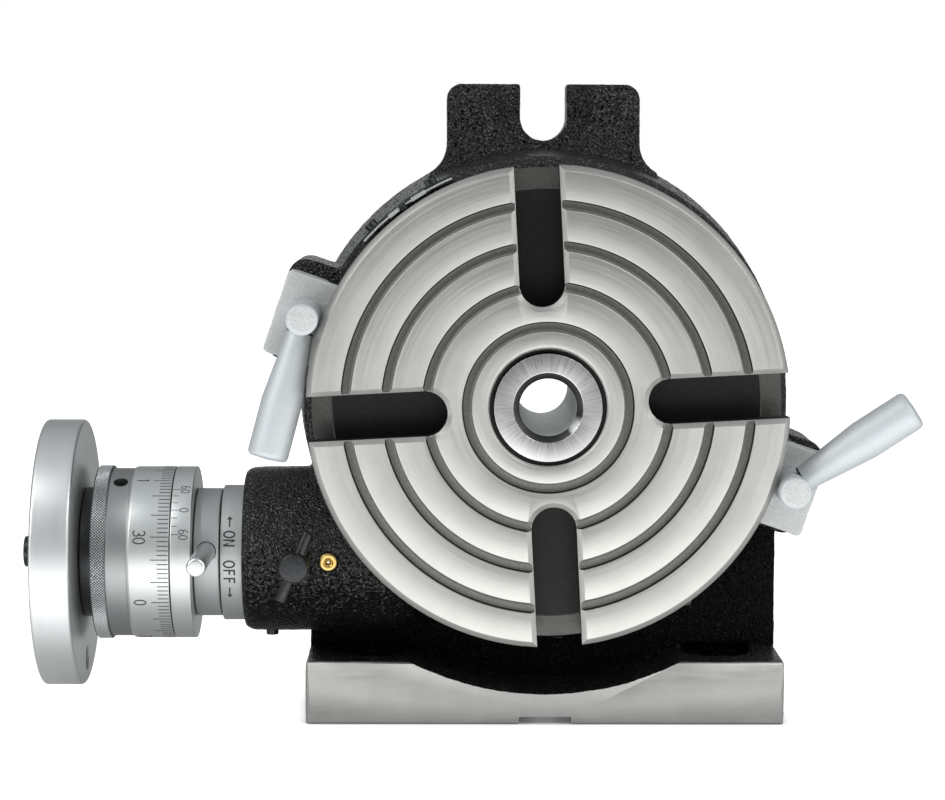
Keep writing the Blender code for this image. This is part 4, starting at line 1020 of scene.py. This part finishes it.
CLAMP_ANGLES = {"left": math.radians(161.2), "right": math.radians(-19.4)}
CLAMP_R = 80.4
CLAMP_SCREW_SHIFT = {"left": -1.4, "right": 0.9}
PLATE_FRONT, PLATE_BACK = span("left_clamp_plate", 1)
PLATE_TONGUE = 24.5
PLATE_HALF = 13.65
PLATE_OUT, PLATE_STEP, PLATE_IN = 90.0, 76.4, 67.8
KNOB_FRONT = span("left_clamp_screw", 1)[0]
KNOB_R = 4.9
STUD_R = 3.0
LEVER_Y = 12.0
LEVER_TILT = math.radians(7.0)
LEVER_ANGLES = {"left": math.radians(255.3), "right": math.radians(34.1)}
LEVER_LENGTH = 45.8
LEVER_KNEE = 27.0
LEVER_R = 6.4
ROUGH_VOXEL = 0.4


def cast_skin(obj, voxel, layers, smooth):
    """Eases a sharp body's edges and gives it a rough skin from (texture, scale, height) layers."""
    remesh = obj.modifiers.new("remesh", "REMESH")
    remesh.mode = "VOXEL"
    remesh.voxel_size = voxel
    if smooth:
        relax = obj.modifiers.new("relax", "SMOOTH")
        relax.factor = 0.5
        relax.iterations = smooth
    for kind, scale, height in layers:
        texture = bpy.data.textures.new("skin", kind)
        texture.noise_scale = scale
        skin = obj.modifiers.new("skin", "DISPLACE")
        skin.texture = texture
        skin.texture_coords = "LOCAL"
        skin.strength = height
        skin.mid_level = 0.5
    apply_modifiers(obj)


def clamp_place(side):
    angle = CLAMP_ANGLES[side]
    return (CLAMP_R * math.cos(angle), 0, CLAMP_R * math.sin(angle)), (0, -angle, 0)


def make_clamp_plate(side):
    place, turn = clamp_place(side)
    inner, step, outer = PLATE_IN - CLAMP_R, PLATE_STEP - CLAMP_R, PLATE_OUT - CLAMP_R
    front, half = PLATE_FRONT + 0.15, PLATE_HALF - 0.1
    heel = softened([(step, -half), (outer, -half), (outer, half), (step, half)], 1.6, 4, closed=True)
    obj = raw_object(prism(heel, front, PLATE_BACK))
    tongue = box((inner - 2, front, -half), (step + 3, PLATE_TONGUE, half))
    combine(obj, [tongue], "UNION")
    cast_skin(obj, ROUGH_VOXEL, [("CLOUDS", 7.0, 0.35), ("CLOUDS", 0.9, 0.2)], 4)
    groove = moved(rod(CLAMP_GROOVE_R + 0.8, 10, 40, 192), turn=ALONG_Y)
    groove.transform(Matrix.Translation((-CLAMP_R, 0, 0)))
    hole = moved(rod(STUD_R + 0.3, 10, 40, 48), (0, 0, CLAMP_SCREW_SHIFT[side]), ALONG_Y)
    combine(obj, [groove, hole], "DIFFERENCE")
    paint(obj, [MATERIALS["rough_silver"]])
    finish_piece(obj, f"{side}_clamp_jaw", f"{side}_clamp", [f"{side}_clamp_plate"],
                 place, turn, 50)


def screw_place(side):
    at = axis_of(f"{side}_lever_turn")
    return (at.x, 0, at.z)


def make_clamp_screw(side):
    place = screw_place(side)
    back = PLATE_FRONT - 0.3
    hub = [(0, KNOB_FRONT), (KNOB_R - 0.9, KNOB_FRONT + 0.12), (KNOB_R, KNOB_FRONT + 0.9), (KNOB_R, 17.5)]
    hub += [(KNOB_R + 0.3, 18.0), (KNOB_R + 0.3, back), (STUD_R, back), (STUD_R, 58), (0, 58)]
    obj = raw_object(lathe(softened(hub, 0.4, 4), 96))
    centre, direction = lever_line(side)
    into = direction.to_track_quat("Z", "X").to_matrix().to_4x4()
    socket = rod(LEVER_R * 0.62, 4.3, 20, 64)
    socket.transform(Matrix.Translation(centre) @ into)
    socket.transform(Matrix.Rotation(math.pi / 2, 4, "X") @ Matrix.Translation((-place[0], 0, -place[2])))
    combine(obj, [socket], "DIFFERENCE")
    paint(obj, [MATERIALS["silver"], MATERIALS["rough_silver"]],
          lambda centre, normal: int(centre.z < KNOB_FRONT + 0.3))
    screw = f"{side}_clamp_screw"
    finish_piece(obj, f"{side}_clamp_hub", f"{side}_lever", [screw], place, ALONG_Y)


def lever_line(side):
    """The point on the hub's axis that a lever starts from, and the lever's direction."""
    place = screw_place(side)
    angle = LEVER_ANGLES[side]
    flat = math.cos(LEVER_TILT)
    direction = Vector((math.cos(angle) * flat, -math.sin(LEVER_TILT), math.sin(angle) * flat))
    return Vector((place[0], LEVER_Y, place[2])), direction


def make_lever(side):
    centre, direction = lever_line(side)
    outline = [(0, 1.2), (2.2, 1.2), (2.2, 4.4), (4.15, 4.7), (4.19, 5.35), (4.25, 6.5)]
    outline += [(LEVER_R - 0.02, LEVER_KNEE - 0.05), (LEVER_R, LEVER_KNEE + 0.25)]
    outline += [(LEVER_R, LEVER_LENGTH - 0.35), (0, LEVER_LENGTH)]
    line = softened(outline[:5], 0.2, 2) + outline[5:8]
    line += softened(outline[7:], 2.0, 8)[1:]
    obj = raw_object(lathe(line, 96))
    # the lever's neck painted near black as shade where it goes into the hub
    paint(obj, [MATERIALS["silver"], MATERIALS["gap_shade"]], lambda centre, normal: int(centre.z < 5.35))
    turn = direction.to_track_quat("Z", "X").to_euler()
    lever = f"{side}_clamp_lever"
    finish_piece(obj, f"{side}_lever_handle", f"{side}_lever", [lever], centre, turn)


# ---------------------------------------------------------------- small pieces on the base

LOCK_X, LOCK_Z = axis_of("lock_turn").x, axis_of("lock_turn").z
LOCK_BAR_ANGLE = math.radians(67.5)
OILER_X = (span("oiler_body", 0)[0] + span("oiler_body", 0)[1]) / 2
OILER_Z = (span("oiler_body", 2)[0] + span("oiler_body", 2)[1]) / 2
OILER_FRONT, OILER_BACK = span("oiler_body", 1)
INDEX_R = 76.2
INDEX_ANGLES = (math.radians(113.0), math.radians(138.4))
INDEX_PADS = ((math.radians(119.9), math.radians(123.7)), (math.radians(127.4), math.radians(130.2)))
INDEX_STUD_ANGLE = math.radians(126.3)
INDEX_SCREW_ANGLES = (math.radians(118.0), math.radians(135.0))
INDEX_SCREW_Y = 30.6
PLUG_X = (span("boss_plug", 0)[0] + span("boss_plug", 0)[1]) / 2


def make_lock_screw():
    front, back = span("lock_screw", 1)
    outline = [(0, front), (4.1, front + 0.1), (4.7, front + 0.7), (4.7, 18.2), (2.9, 18.2), (2.9, back),
               (0, back)]
    obj = raw_object(lathe(softened(outline, 0.3, 3), 96))
    lean = LOCK_BAR_ANGLE
    hole = rod(2.05, -15, 15, 48)
    hole.transform(Matrix.Rotation(lean, 4, "Z") @ Matrix.Rotation(math.pi / 2, 4, "Y"))
    hole.transform(Matrix.Translation((0, 0, 13.0)) @ Matrix.Scale(-1, 4, (0, 1, 0)))
    bmesh.ops.reverse_faces(hole, faces=hole.faces)
    combine(obj, [hole], "DIFFERENCE")
    paint(obj, [MATERIALS["oxide"]])
    finish_piece(obj, "lock_head", "lock", ["lock_screw"], (LOCK_X, 0, LOCK_Z), ALONG_Y)
    bar = raw_object(lathe(softened([(0, -11.75), (1.9, -11.75), (1.9, 11.75), (0, 11.75)], 0.45, 4), 64))
    paint(bar, [MATERIALS["oxide"]])
    turn = (0, math.pi / 2 - lean, 0)
    finish_piece(bar, "lock_bar", "lock", ["lock_screw_bar"], (LOCK_X, 13.0, LOCK_Z), turn)


def make_oiler():
    front, back = OILER_FRONT, OILER_BACK
    body = [(0.85, front + 0.1), (1.0, front + 0.5), (1.35, front + 0.15), (1.6, front), (2.5, front),
            (2.9, front + 0.45)]
    body += [(2.9, back), (1.3, back), (1.3, front + 0.9), (0.85, front + 0.7)]
    obj = raw_object(lathe(softened(body, 0.12, 2, closed=True), 72))
    paint(obj, [MATERIALS["brass"]])
    finish_piece(obj, "oiler_cup", "base", ["oiler_body"], (OILER_X, 0, OILER_Z), ALONG_Y)
    low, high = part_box("oiler_ball")
    centre = ((low + high) / 2 - ORIGIN) / MM
    ball = bmesh.new()
    bmesh.ops.create_icosphere(ball, subdivisions=4, radius=(high.x - low.x) / 2 / MM)
    obj = raw_object(ball)
    paint(obj, [MATERIALS["chrome"]])
    finish_piece(obj, "oiler_valve_ball", "oiler_valve", ["oiler_ball"], centre)


def make_plug():
    low, high = span("boss_plug", 2)
    radius = (span("boss_plug", 0)[1] - span("boss_plug", 0)[0]) / 2
    obj = raw_object(lathe(softened([(0, low), (radius, low), (radius, high), (0, high)], 0.4, 3), 48))
    combine(obj, [rod(1.0, low - 1, low + 2.2, 6)], "DIFFERENCE")
    paint(obj, [MATERIALS["oxide"]])
    finish_piece(obj, "sleeve_stop_screw", "base", ["boss_plug"], (PLUG_X, SLEEVE_AT[1], 0))


def arc_plate(inner, outer, start, end, front, back):
    """A curved plate about the table axis, between two angles."""
    return prism(arc((0, 0), inner, start, end, 40) + arc((0, 0), outer, end, start, 40), front, back)


def make_index_plate():
    front, back = span("index_plate", 1)
    obj = raw_object(arc_plate(INDEX_R - 0.1, INDEX_R + 0.45, *INDEX_ANGLES, front, back))
    pads = [arc_plate(INDEX_R - 0.4, INDEX_R + 0.8, start, end, front - 0.3, front + 5) for start,
            end in INDEX_PADS]
    combine(obj, pads, "UNION")
    (_, low), (high, _) = INDEX_PADS
    combine(obj, [arc_plate(70, 82, low, high, front - 1, front + 4)], "DIFFERENCE")
    ease = obj.modifiers.new("ease", "BEVEL")
    ease.width = 0.12
    ease.segments = 2
    ease.limit_method = "ANGLE"
    apply_modifiers(obj)
    paint(obj, [MATERIALS["plate"]])
    finish_piece(obj, "index_scale", "base", ["index_plate"])
    dome = [(0, 0), (1.25, 0), (1.3, 0.9), (1.1, 1.7), (0.6, 2.1), (0, 2.2)]
    obj = raw_object(lathe(softened(dome, 0.5, 4), 48))
    paint(obj, [MATERIALS["oxide"]])
    turn = (0, math.pi / 2 - INDEX_STUD_ANGLE, 0)
    place = Vector((math.cos(INDEX_STUD_ANGLE), 0, math.sin(INDEX_STUD_ANGLE))) * (INDEX_R - 1.1)
    finish_piece(obj, "index_zero_stud", "base", (), place + Vector((0, front + 2.2, 0)),
                 turn)
    for number, angle in enumerate(INDEX_SCREW_ANGLES, 1):
        head = INDEX_R + 0.8
        screw = [(0, 73.7), (1.05, 73.7), (1.05, head), (2.0, head), (2.0, head + 2.3), (0, head + 2.3)]
        obj = raw_object(lathe(softened(screw, 0.25, 3), 48))
        combine(obj, [rod(1.0, head + 1.0, head + 4, 6)], "DIFFERENCE")
        paint(obj, [MATERIALS["oxide"]])
        turn = (0, math.pi / 2 - angle, 0)
        name, old = f"index_cap_screw_{number}", f"index_screw_{number}"
        finish_piece(obj, name, "base", [old], (0, INDEX_SCREW_Y, 0), turn)


# ---------------------------------------------------------------- base casting

SKIN = 1.0  # stock left on the casting where it is machined
DRUM_R, DRUM_FRONT, DRUM_FRONT_R = 81.0, 34.0, 77.4
SHOULDER_R, SHOULDER_FRONT = 75.4, 27.0
BOWL_R = 72.8
GEAR_ROOM_R, GEAR_ROOM_BACK = 50.0, 58.0
BEARING_R = 25.3
NUT_ROOM_R, NUT_ROOM_FRONT = 33.0, 71.0
BLOCK_HALF, BLOCK_FRONT, BLOCK_TOP = 76.2, 53.4, -27.0
FOOT_HALF, FOOT_FRONT, FOOT_TOP = 76.3, 22.4, -83.1
FOOT_BOTTOM = -ORIGIN.z / MM
FOOT_DIP_R = 93.5
KEYWAY_HALF, KEYWAY_DEPTH = 8.3, 2.3
FOOT_SLOT_AT, FOOT_SLOT_HALF, FOOT_SLOT_ENDS = 56.3, 6.5, (45.7, 56.0)
POCKET_HALF, POCKET_FLOOR = 11.0, -92.0
LUG_HALF, LUG_FRONT, LUG_CORNER, LUG_FILLET = 31.7, 64.0, 5.0, 11.0
LUG_TOP = span("base_casting", 2)[1]
LUG_SLOT_HALF, LUG_SLOT_END = 7.6, 90.0
LUG_FACE_HALF, LUG_FACE_DEPTH = 14.0, 2.5
BOSS_R, BOSS_Y, BOSS_Z = 26.7, 47.6, -50.0
BOSS_END = span("base_casting", 0)[0]
TUNNEL_END = 49.0
CLAMP_BOSS_SIDES = {"left": (-18.0, 15.5), "right": (-15.5, 15.5)}
CLAMP_BOSS_OUT = 90.5
CLAMP_SEAT_R = 76.2
CLAMP_BOSS_FRONT, CLAMP_BOSS_BACK = 33.4, 70.0
CAST_VOXEL = 0.8


def lug_outline():
    """(x, z) of the top lug: rounded corners above, fillets into the drum below."""
    root = math.sqrt((DRUM_R + LUG_FILLET) ** 2 - (LUG_HALF + LUG_FILLET) ** 2)
    lean = math.atan2(root, LUG_HALF + LUG_FILLET)
    fillet = arc((LUG_HALF + LUG_FILLET, root), LUG_FILLET, math.pi + lean, math.pi, 12)
    top_z = LUG_TOP - 0.1
    top = arc((LUG_HALF - LUG_CORNER, top_z - LUG_CORNER), LUG_CORNER, 0, math.pi / 2, 10)
    right = [(fillet[0][0] - 2, 52.0), *fillet, *top]
    return right + [(-x, z) for x, z in reversed(right)]


def long_hole(x, half, low, high):
    first, last = FOOT_SLOT_ENDS
    outline = arc((x, first), half, -math.pi, 0, 16) + arc((x, last), half, 0, math.pi, 16)
    return loft([[(px, py, z) for px, py in outline] for z in (low, high)])


def clamp_boss(side):
    angle = CLAMP_ANGLES[side]
    low, high = CLAMP_BOSS_SIDES[side]
    outline = [(CLAMP_BOSS_OUT, low), (CLAMP_BOSS_OUT, high), (60, high), (60, low)]
    return moved(prism(softened(outline, 6.5, 8, closed=True), CLAMP_BOSS_FRONT, CLAMP_BOSS_BACK),
                 turn=(0, -angle, 0))


def cast_shapes():
    """What the mould makes, with stock left on where the casting is machined."""
    foot_edge = FOOT_HALF - 0.1
    boss = [(0, BOSS_END - SKIN), (BOSS_R - 0.1, BOSS_END - SKIN), (BOSS_R - 0.1, -42), (0, -42)]
    boss = softened(boss, 5.0, 8)
    return [
        moved(rod(SHOULDER_R, SHOULDER_FRONT, DRUM_FRONT + 4, 256), turn=ALONG_Y),
        box((-BLOCK_HALF, BLOCK_FRONT, FOOT_TOP - 4), (BLOCK_HALF, BACK + SKIN - 0.05, BLOCK_TOP)),
        box((-foot_edge, FOOT_FRONT - SKIN, FOOT_BOTTOM - SKIN), (foot_edge, BACK + SKIN - 0.1, FOOT_TOP)),
        moved(lathe(boss, 160), (0, BOSS_Y, BOSS_Z), ALONG_X),
        prism(lug_outline(), LUG_FRONT, BACK + SKIN - 0.15),
        clamp_boss("left"),
        clamp_boss("right"),
    ]


def cast_hollows():
    """The as-cast recesses: the foot's curved step and nut recesses, and the lug's slot and front recess."""
    dip = [(DRUM_R + 0.4, FOOT_FRONT - 4), (FOOT_DIP_R, FOOT_FRONT - 4), (FOOT_DIP_R, BLOCK_FRONT)]
    scratch = raw_object(moved(lathe(dip + [(DRUM_R + 0.4, BLOCK_FRONT)], 256), turn=ALONG_Y))
    combine(scratch, [box((-120, 0, FOOT_TOP + 8), (120, 60, 120))], "DIFFERENCE")
    step = bmesh.new()
    step.from_mesh(scratch.data)
    bpy.data.objects.remove(scratch)
    hollows = [step]
    for side in (-1, 1):
        hollows.append(long_hole(side * FOOT_SLOT_AT, POCKET_HALF, POCKET_FLOOR, FOOT_TOP + 0.8))
    hollows.append(prism(u_outline(LUG_SLOT_HALF, LUG_SLOT_END, LUG_TOP + 5, 24), LUG_FRONT - 10,
                         BACK + 5))
    face = [u_outline(LUG_FACE_HALF + spread_by, LUG_SLOT_END + 3, LUG_TOP + 5, 24)
            for spread_by in (2.0, -0.4)]
    depths = (LUG_FRONT - 0.5, LUG_FRONT + LUG_FACE_DEPTH)
    hollows.append(loft([[(x, y, z) for x, z in outline] for outline, y in zip(face, depths)]))
    return hollows


def machined_cuts():
    """The cuts that a machine makes: foot, back, boss end, keyway, hollow, worm tunnel and holes."""
    far = 200
    cuts = [
        box((-far, -far, -far), (far, FOOT_FRONT, FOOT_TOP + 5)),
        box((-far, BACK, -far), (far, far, far)),
        box((-far, -far, -far), (far, far, FOOT_BOTTOM)),
        box((-far, -far, -far), (BOSS_END, far, far)),
        box((-far, -far, LUG_TOP), (far, far, far)),
        box((FOOT_HALF, -far, -far), (far, 60, FOOT_TOP - 1)),
        box((-far, -far, -far), (-FOOT_HALF, 40, FOOT_TOP - 1)),
        box((-KEYWAY_HALF, FOOT_FRONT - 5, -120), (KEYWAY_HALF, BACK + 5, FOOT_BOTTOM + KEYWAY_DEPTH)),
    ]
    hollow = [(0, 5), (TABLE_R + 1, 5), (TABLE_R + 1, SHOULDER_FRONT), (BOWL_R, SHOULDER_FRONT)]
    hollow += [(BOWL_R, TABLE_BACK + 0.3), (GEAR_ROOM_R, TABLE_BACK + 0.3), (GEAR_ROOM_R, GEAR_ROOM_BACK)]
    hollow += [(BEARING_R, GEAR_ROOM_BACK), (BEARING_R, NUT_ROOM_FRONT), (NUT_ROOM_R, NUT_ROOM_FRONT)]
    hollow += [(NUT_ROOM_R, BACK + 2), (0, BACK + 2)]
    cuts.append(moved(lathe(hollow, 256), turn=ALONG_Y))
    cuts.append(moved(rod(TUNNEL_R, BOSS_END - 3, TUNNEL_END, 96), SLEEVE_AT, ALONG_X))
    for side in (-1, 1):
        cuts.append(long_hole(side * FOOT_SLOT_AT, FOOT_SLOT_HALF, FOOT_BOTTOM - 2, FOOT_TOP + 1))
    for side in CLAMP_ANGLES:
        cuts.append(moved(rod(STUD_R + 0.25, CLAMP_BOSS_FRONT - 2, 62, 48), screw_place(side), ALONG_Y))
        seat = box((CLAMP_SEAT_R, CLAMP_BOSS_FRONT - 6, -25), (95, CLAMP_BOSS_FRONT + 0.05, 25))
        cuts.append(moved(seat, turn=(0, -CLAMP_ANGLES[side], 0)))
    cuts.append(moved(rod(3.2, 15, 40, 48), (LOCK_X, 0, LOCK_Z), ALONG_Y))
    oiler = [(0, 15), (3.2, 15), (3.2, OILER_BACK + 0.4), (1.2, OILER_BACK + 0.4), (1.2, 40), (0, 40)]
    cuts.append(moved(lathe(oiler, 48), (OILER_X, 0, OILER_Z), ALONG_Y))
    cuts.append(rod(2.3, -82, -64, 32))
    cuts[-1].transform(Matrix.Translation((PLUG_X, SLEEVE_AT[1], 0)))
    for angle in INDEX_SCREW_ANGLES:
        cuts.append(moved(rod(1.3, 73.4, 80, 32), (0, INDEX_SCREW_Y, 0), (0, math.pi / 2 - angle, 0)))
    return cuts


def foot_edges():
    """Bars along the foot's front edges that leave a bright chamfer."""
    half = math.sqrt(2) / 2
    bars = []
    for x, z, size in ((-FOOT_HALF, None, 1.5), (FOOT_HALF, None, 1.2), (None, FOOT_BOTTOM, 0.8)):
        reach = size * half
        if x is None:
            bar = box((-90, -reach, -reach), (90, reach, reach))
            bars.append(moved(bar, (0, FOOT_FRONT, z), (math.pi / 4, 0, 0)))
        else:
            bar = box((-reach, -reach, -40), (reach, reach, 15))
            bars.append(moved(bar, (x, FOOT_FRONT, FOOT_TOP), (0, 0, math.pi / 4)))
    for side in (-1, 1):
        flat = loft([[(x, FOOT_FRONT + y, FOOT_TOP + z) for y,
                      z in [(-1.5, -2.2), (1.9, 1.2), (-1.5, 1.2)]]
                     for x in (side * 42, side * 90)])
        bars.append(flat)
    inner, outer = FOOT_DIP_R - 1.2, FOOT_DIP_R + 1.0
    ring = lathe([(inner, FOOT_FRONT - 1.5), (outer, FOOT_FRONT - 1.5), (inner, FOOT_FRONT + 0.9)], 256)
    scratch = raw_object(moved(ring, turn=ALONG_Y))
    combine(scratch, [box((-120, 0, FOOT_TOP), (120, 60, 120))], "DIFFERENCE")
    arc_bar = bmesh.new()
    arc_bar.from_mesh(scratch.data)
    bpy.data.objects.remove(scratch)
    bars.append(arc_bar)
    return bars


# where down-facing cast faces start to take painted shade, with a noisy boundary
UNDER_FROM, UNDER_SPREAD, UNDER_SHADE_DITHER = -0.35, 0.9, 1.3


def casting_finish(centre, normal):
    """Paint, except where a machined plane or bore has been cut through it; the hollow, tunnel, keyway,
    down-facing faces and block fronts get painted shade.
    """
    x, y, z = centre
    radius = math.hypot(x, z)
    flat = max(abs(normal.x), abs(normal.y), abs(normal.z)) > 0.999
    if flat and (abs(y - FOOT_FRONT) < 0.02 or abs(z - FOOT_BOTTOM) < 0.02 or abs(x - BOSS_END) < 0.02):
        return 1
    if abs(y - BACK) < 0.02:
        return 1
    if y < FOOT_FRONT + 2 and z < FOOT_TOP + 8:
        return 1 if abs(normal.y) > 0.4 else 0
    # the bowl and the worm tunnel get the dark machined iron as painted shade
    if radius < BOWL_R + 0.3 and y > SHOULDER_FRONT - 1:
        return 2
    if math.hypot(y - SLEEVE_AT[1], z - SLEEVE_AT[2]) < TUNNEL_R + 0.1 and x < 0:
        return 2
    # the keyway painted black as shadow
    if z < FOOT_BOTTOM + KEYWAY_DEPTH + 0.05 and abs(x) < KEYWAY_HALF + 0.05:
        return 3
    # faces turned down and the block fronts take the darker crinkle paint as painted shade
    under = normal.z < UNDER_FROM + UNDER_SPREAD * value_noise(centre * UNDER_SHADE_DITHER)
    return 4 if under or normal.y < -0.5 and BLOCK_FRONT - 2 < y < BLOCK_FRONT + 2 else 0


def make_casting():
    side = [(DRUM_FRONT_R - 1.2, DRUM_FRONT), (DRUM_FRONT_R, DRUM_FRONT + 1.2), (DRUM_R, BACK),
            (DRUM_R, BACK + SKIN)]
    obj = raw_object(moved(lathe([(0, DRUM_FRONT), *side, (0, BACK + SKIN)], 256), turn=ALONG_Y))
    combine(obj, cast_shapes(), "UNION")
    combine(obj, cast_hollows(), "DIFFERENCE")
    cast_skin(obj, CAST_VOXEL, [("CLOUDS", 14.0, 0.5), ("CLOUDS", 1.6, 0.34)], 4)
    combine(obj, machined_cuts(), "DIFFERENCE")
    combine(obj, foot_edges(), "DIFFERENCE")
    materials = [MATERIALS[name] for name in ("paint", "milled", "hollow_shade", "shadow", "recess")]
    paint(obj, materials, casting_finish)
    finish_piece(obj, "cast_base", "base", ["base_casting"], sharp=50)


# ---------------------------------------------------------------- pieces kept as the CAD has them

KEPT = {
    "worm_wheel": "bronze", "wheel_screw_1": "oxide", "wheel_screw_2": "oxide", "wheel_screw_3": "oxide",
    "wheel_screw_4": "oxide", "spindle_locknut": "oxide", "locknut_set_screw": "oxide",
    "spindle_bush": "bronze",
    "rear_thrust_washer": "bronze", "worm_shaft": "kept_steel",
    "thrust_bearing": "kept_steel", "handwheel_key": "wire", "dial_set_screw": "oxide",
    "oiler_spring": "wire",
}


def finish_kept():
    for name, key in KEPT.items():
        mesh = frame["nodes"][name].data
        mesh.materials.clear()
        mesh.materials.append(MATERIALS[key])


# ---------------------------------------------------------------- stage, light and camera


def make_stage():
    """A plain pale floor that glows, brightest in front of the table where it lights it from below, with a
    painted contact shadow where it touches.
    """
    material, tree, shader = new_material("floor")
    point = object_point(tree)
    mottle = noise(tree, point, 3.0, 3.0, 0.5)
    tone = mixed_colour(tree, mottle, (0.44, 0.44, 0.44), (0.46, 0.46, 0.46))
    tree.links.new(tone, shader.inputs["Base Color"])
    shader.inputs["Roughness"].default_value = 0.9
    shader.inputs["Specular IOR Level"].default_value = 0.1
    shader.inputs["Emission Color"].default_value = (1, 1, 1, 1)
    # painted contact shadow: the glow the camera sees darkens where the floor meets the table
    near = node(tree, "AmbientOcclusion", Distance=0.006).outputs["AO"]
    seen = calc(tree, "MULTIPLY", near, 1.05)
    # glow that lights the table from below, brightest a little in front of it
    forward = calc(tree, "MULTIPLY", node(tree, "SeparateXYZ", Vector=point).outputs["Y"], -1.0)
    rise = spread(tree, forward, 0.2, 2.0, 0.03, 0.10)
    fall = spread(tree, forward, 2.0, 0.25, 0.28, 0.7)
    lit = calc(tree, "MINIMUM", rise, fall)
    camera = node(tree, "LightPath").outputs["Is Camera Ray"]
    strength = calc(tree, "ADD", calc(tree, "MULTIPLY", camera, calc(tree, "SUBTRACT", seen, lit)), lit)
    tree.links.new(strength, shader.inputs["Emission Strength"])
    bm = bmesh.new()
    corners = [bm.verts.new((x, y, -0.0002)) for x, y in ((-6, -6), (6, -6), (6, 6), (-6, 6))]
    bm.faces.new(corners)
    floor = raw_object(bm, "floor")
    floor.data.materials.append(material)


def add_light(name, kind, place, target, size, watts):
    light = bpy.data.lights.new(name, "AREA")
    light.shape = kind
    light.size, light.size_y = size
    light.energy = watts
    obj = bpy.data.objects.new(name, light)
    obj.location = place
    obj.rotation_euler = (Vector(target) - Vector(place)).to_track_quat("-Z", "Y").to_euler()
    bpy.context.scene.collection.objects.link(obj)
    return obj


WORLD_SIDE, WORLD_FRONT = 0.08, 0.66


def make_lights():
    """A bright front over dim sides, seen as plain white by the camera, and soft boxes round it."""
    world = bpy.data.worlds.new("studio")
    bpy.context.scene.world = world
    world.use_nodes = True
    tree = world.node_tree
    tree.nodes.clear()
    direction = node(tree, "SeparateXYZ", Vector=node(tree, "TexCoord").outputs["Generated"]).outputs
    front_part = calc(tree, "MULTIPLY", direction["Y"], -0.15)
    frontal = calc(tree, "ADD", front_part, calc(tree, "MULTIPLY", direction["Z"], 0.9))
    behind = spread(tree, direction["Y"], 0.0, 0.9, 0.955, 0.985)
    strength = calc(tree, "ADD", spread(tree, frontal, WORLD_SIDE, WORLD_FRONT, 0.0, 0.9), behind)
    seen = node(tree, "Background", Color=(1, 1, 1, 1), Strength=1.0)
    lit = node(tree, "Background", Color=(0.95, 0.98, 1.0, 1), Strength=strength)
    path = node(tree, "LightPath")
    mix = node(tree, "MixShader", Fac=path.outputs["Is Camera Ray"])
    tree.links.new(lit.outputs[0], mix.inputs[1])
    tree.links.new(seen.outputs[0], mix.inputs[2])
    output = tree.nodes.new("ShaderNodeOutputWorld")
    tree.links.new(mix.outputs[0], output.inputs[0])
    centre = (0, 0, 0.1)
    add_light("key", "RECTANGLE", (0.65, -0.95, 0.95), centre, (0.35, 0.35), 2.5)
    add_light("left_strip", "RECTANGLE", (-0.9, -0.55, 0.7), centre, (0.25, 0.8), 5)
    add_light("right_strip", "RECTANGLE", (1.1, -0.3, 0.5), centre, (0.2, 0.8), 3)
    add_light("left_spark", "DISK", (-0.5, -0.55, 1.1), centre, (0.06, 0.06), 1.2)
    add_light("right_spark", "DISK", (0.75, -0.5, 1.0), centre, (0.06, 0.06), 1.2)


CAMERA_AT = (-0.88, -901.24, 178.04)
CAMERA_YAW, CAMERA_PITCH, CAMERA_ROLL = 0.004, -0.084, 0.002
CAMERA_LENS = 107.12


def make_camera():
    forward = Vector((math.sin(CAMERA_YAW) * math.cos(CAMERA_PITCH),
                      math.cos(CAMERA_YAW) * math.cos(CAMERA_PITCH),
                      math.sin(CAMERA_PITCH)))
    right = Vector((math.cos(CAMERA_YAW), -math.sin(CAMERA_YAW), 0))
    up = right.cross(forward)
    right, up = (math.cos(CAMERA_ROLL) * right + math.sin(CAMERA_ROLL) * up,
                 math.cos(CAMERA_ROLL) * up - math.sin(CAMERA_ROLL) * right)
    camera = bpy.data.objects.new("camera", bpy.data.cameras.new("camera"))
    camera.data.lens = CAMERA_LENS
    camera.data.sensor_width = 36.0
    axes = Matrix((right, up, -forward)).transposed().to_4x4()
    camera.matrix_world = Matrix.Translation(Vector(CAMERA_AT) * MM) @ axes
    bpy.context.scene.collection.objects.link(camera)
    bpy.context.scene.camera = camera
    bpy.context.scene.view_settings.view_transform = "Standard"


def main():
    make_table()
    make_rim_scale()
    make_spindle()
    make_dial()
    make_vernier()
    make_handwheel()
    make_handwheel_bolt()
    make_spacer()
    make_sleeve()
    make_cam_pin()
    make_collar()
    for side in CLAMP_ANGLES:
        make_clamp_plate(side)
        make_clamp_screw(side)
        make_lever(side)
    make_lock_screw()
    make_oiler()
    make_plug()
    make_index_plate()
    make_casting()
    finish_kept()
    make_stage()
    make_lights()
    make_camera()


main()
